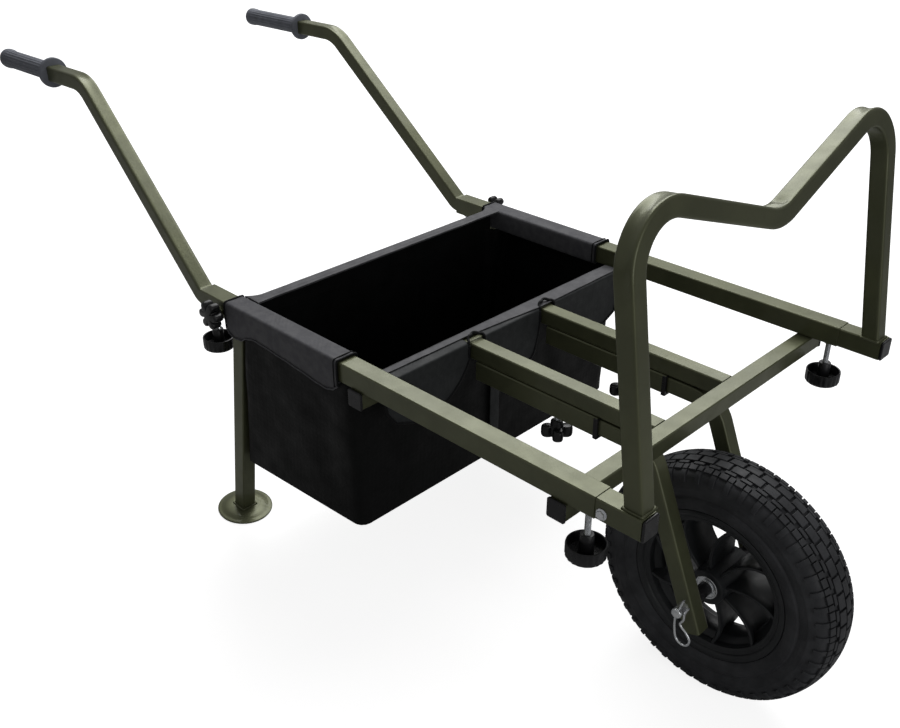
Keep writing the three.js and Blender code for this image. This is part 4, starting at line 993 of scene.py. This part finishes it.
def makeFlap(name, y0, y1, rightCut, leftCut):
    points, over, rows, size = [], flap["over"], flap["rows"], flap["columns"] + 1
    for row in range(rows + 1):
        down = (row - over) / (rows - over) if row >= over else row / over - 1
        right, left = y0 + valueAt(rightCut, max(0, down)), y1 - valueAt(leftCut, max(0, down))
        for k in range(size):
            y = right + (left - right) * k / flap["columns"]
            x, z = flapPoint(y, down)
            points.append((x, y, z))
    obj = meshObject(f"flap_{name}", points, faces=gridFaces(rows + 1, size))
    turnToFace(obj, 0)
    thicken(obj, flap["cloth"])
    # the flap takes the cloth painted charcoal: painted light from above
    sewOn(obj, flapClothPaintedLight)
    edge = [points[row * size] for row in range(over, rows + 1)] + points[rows * size + 1:(rows + 1) * size - 1]
    edge += [points[row * size + size - 1] for row in reversed(range(over, rows + 1))]
    return obj, piping(f"flapBinding_{name}", edge, 1.9)


# Bound notches of the cloth round the inner rails' ends, and a strip of webbing on the tub's front wall
notch = {"near": -80, "far": 80, "middle": (-394.5, -21.8),
         "half": ((-384.2, 17.6, -52), (-384.6, 17.2, -34), (-387, 15.5, -26.4), (-392, 9, -22.8))}
tape = {"rows": (-104, -136, -170, -205, -232), "across": ((-409.8, -20), (-409.2, -15), (-409.2, -5), (-409.8, 0))}


def makeNotch(hand):
    y, (middleX, middleZ) = notch[hand], notch["middle"]
    route = [(x, y - aside, z) for x, aside, z in notch["half"]] + [(middleX, y, middleZ)]
    route += [(x, y + aside, z) for x, aside, z in reversed(notch["half"])]
    twist = [p + Vector((0.9 * sin(k * 0.7), 0, 0.9 * cos(k * 0.7))) for k, p in enumerate(smoothRoute(route, 6))]
    piping(f"notchBinding_{hand}", twist, 2.3)


frontStrip = makeStrip()
for name, (y0, y1, rightCut, leftCut, length, area) in flaps.items():
    cloth, edge = makeFlap(name, y0, y1, rightCut, leftCut)
for name in ("near", "far"):
    makeNotch(name)
webbing = meshObject("frontWebbing", [(x, y, z) for z in tape["rows"] for x, y in tape["across"]],
                     faces=gridFaces(len(tape["rows"]), len(tape["across"])))
thicken(webbing, 1.6, 0)
# the webbing takes the flaps' cloth, painted charcoal: painted light from above
sewOn(webbing, flapClothPaintedLight)
print("bag made")


# Camera, floor and light

view = {"azimuth": radians(44.54), "elevation": radians(29.09), "place": (543.12, -1078.91, 688.69), "lens": 42.0,
        "sensor": 36, "near": 0.01, "far": 100}
across = Vector((cos(view["azimuth"]), sin(view["azimuth"]), 0))
back = Vector((sin(view["azimuth"]) * cos(view["elevation"]), -cos(view["azimuth"]) * cos(view["elevation"]),
               sin(view["elevation"])))
camera = bpy.data.objects.new("photoCamera", bpy.data.cameras.new("photoCamera"))
camera.data.lens = view["lens"]
camera.data.sensor_width = view["sensor"]
camera.data.clip_start, camera.data.clip_end = view["near"], view["far"]
camera.matrix_world = (Matrix.Translation(toRow @ Vector(view["place"])) @ tilt
                       @ Matrix((across, back.cross(across), back)).transposed().to_4x4())
bpy.context.scene.collection.objects.link(camera)
bpy.context.scene.camera = camera

# the paper's lift to white grows between paperNear and paperFar metres from the middle, so that no horizon shows
studio = {"paperNear": 0.9, "paperFar": 2.4, "floorSize": 60, "floorTone": 0.5, "floorGloss": 0.1,
          "floorRoughness": 0.9, "floorLift": 0.86,
          "worldLight": 0.13, "worldGloss": 0.28, "aim": (0, 0, 0.35),
          "overhead": {"energy": 80, "size": 2.6, "place": (-1.1, 1.5, 2.7)},
          "front": {"energy": 12, "size": 1.6, "place": (3.1, -0.5, 1.3)}}

bpy.ops.object.select_all(action="DESELECT")
bpy.ops.mesh.primitive_plane_add(size=studio["floorSize"], location=(0, 0, 0))
floorPlane = bpy.context.view_layer.objects.active
floorPlane.name = "studioFloor"
# Seamless paper: matt, white to the camera, and it keeps the shadows
paper = bpy.data.materials.new("whitePaperSweep")
paper.use_nodes = True
tree = paper.node_tree
shader = tree.nodes["Principled BSDF"]
shader.inputs["Base Color"].default_value = [studio["floorTone"]] * 3 + [1]
shader.inputs["Roughness"].default_value = studio["floorRoughness"]
shader.inputs["Specular IOR Level"].default_value = studio["floorGloss"]
rays = addNode(tree, "LightPath")
lift = addNode(tree, "Emission", {"Color": (1, 1, 1, 1)})
away = addNode(tree, "VectorMath", {0: addNode(tree, "TexCoord").outputs["Object"]}, operation="LENGTH")
fade = addNode(tree, "MapRange", {"Value": away.outputs["Value"], "From Min": studio["paperNear"],
                                  "From Max": studio["paperFar"], "To Min": studio["floorLift"], "To Max": 1.0})
seen = addNode(tree, "Math", {0: rays.outputs["Is Camera Ray"], 1: fade.outputs["Result"]}, operation="MULTIPLY")
tree.links.new(seen.outputs["Value"], lift.inputs["Strength"])
both = addNode(tree, "AddShader", {0: shader.outputs["BSDF"], 1: lift.outputs["Emission"]})
tree.links.new(both.outputs["Shader"], tree.nodes["Material Output"].inputs["Surface"])
floorPlane.data.materials.append(paper)

world = bpy.data.worlds.new("studio")
bpy.context.scene.world = world
world.use_nodes = True
tree = world.node_tree
rays = addNode(tree, "LightPath")
gloss = addNode(tree, "Math", {0: rays.outputs["Is Glossy Ray"], 1: rays.outputs["Is Transmission Ray"]},
                operation="MAXIMUM")
strength = addNode(tree, "MapRange", {"Value": gloss.outputs["Value"], "To Min": studio["worldLight"],
                                      "To Max": studio["worldGloss"]})
whole = addNode(tree, "Math", {0: strength.outputs["Result"], 1: rays.outputs["Is Camera Ray"]},
                operation="MAXIMUM")
tree.links.new(whole.outputs["Value"], tree.nodes["Background"].inputs["Strength"])
tree.nodes["Background"].inputs["Color"].default_value = (1, 1, 1, 1)

for name in ("overhead", "front"):
    lamp = bpy.data.lights.new(name + "Softbox", "AREA")
    lamp.energy, lamp.size = studio[name]["energy"], studio[name]["size"]
    holder = bpy.data.objects.new(name + "Softbox", lamp)
    holder.location = studio[name]["place"]
    aim = Vector(studio["aim"]) - holder.location
    holder.rotation_euler = aim.to_track_quat("-Z", "Y").to_euler()
    bpy.context.scene.collection.objects.link(holder)

bpy.context.scene.view_settings.view_transform = "Standard"
print("camera and studio set")
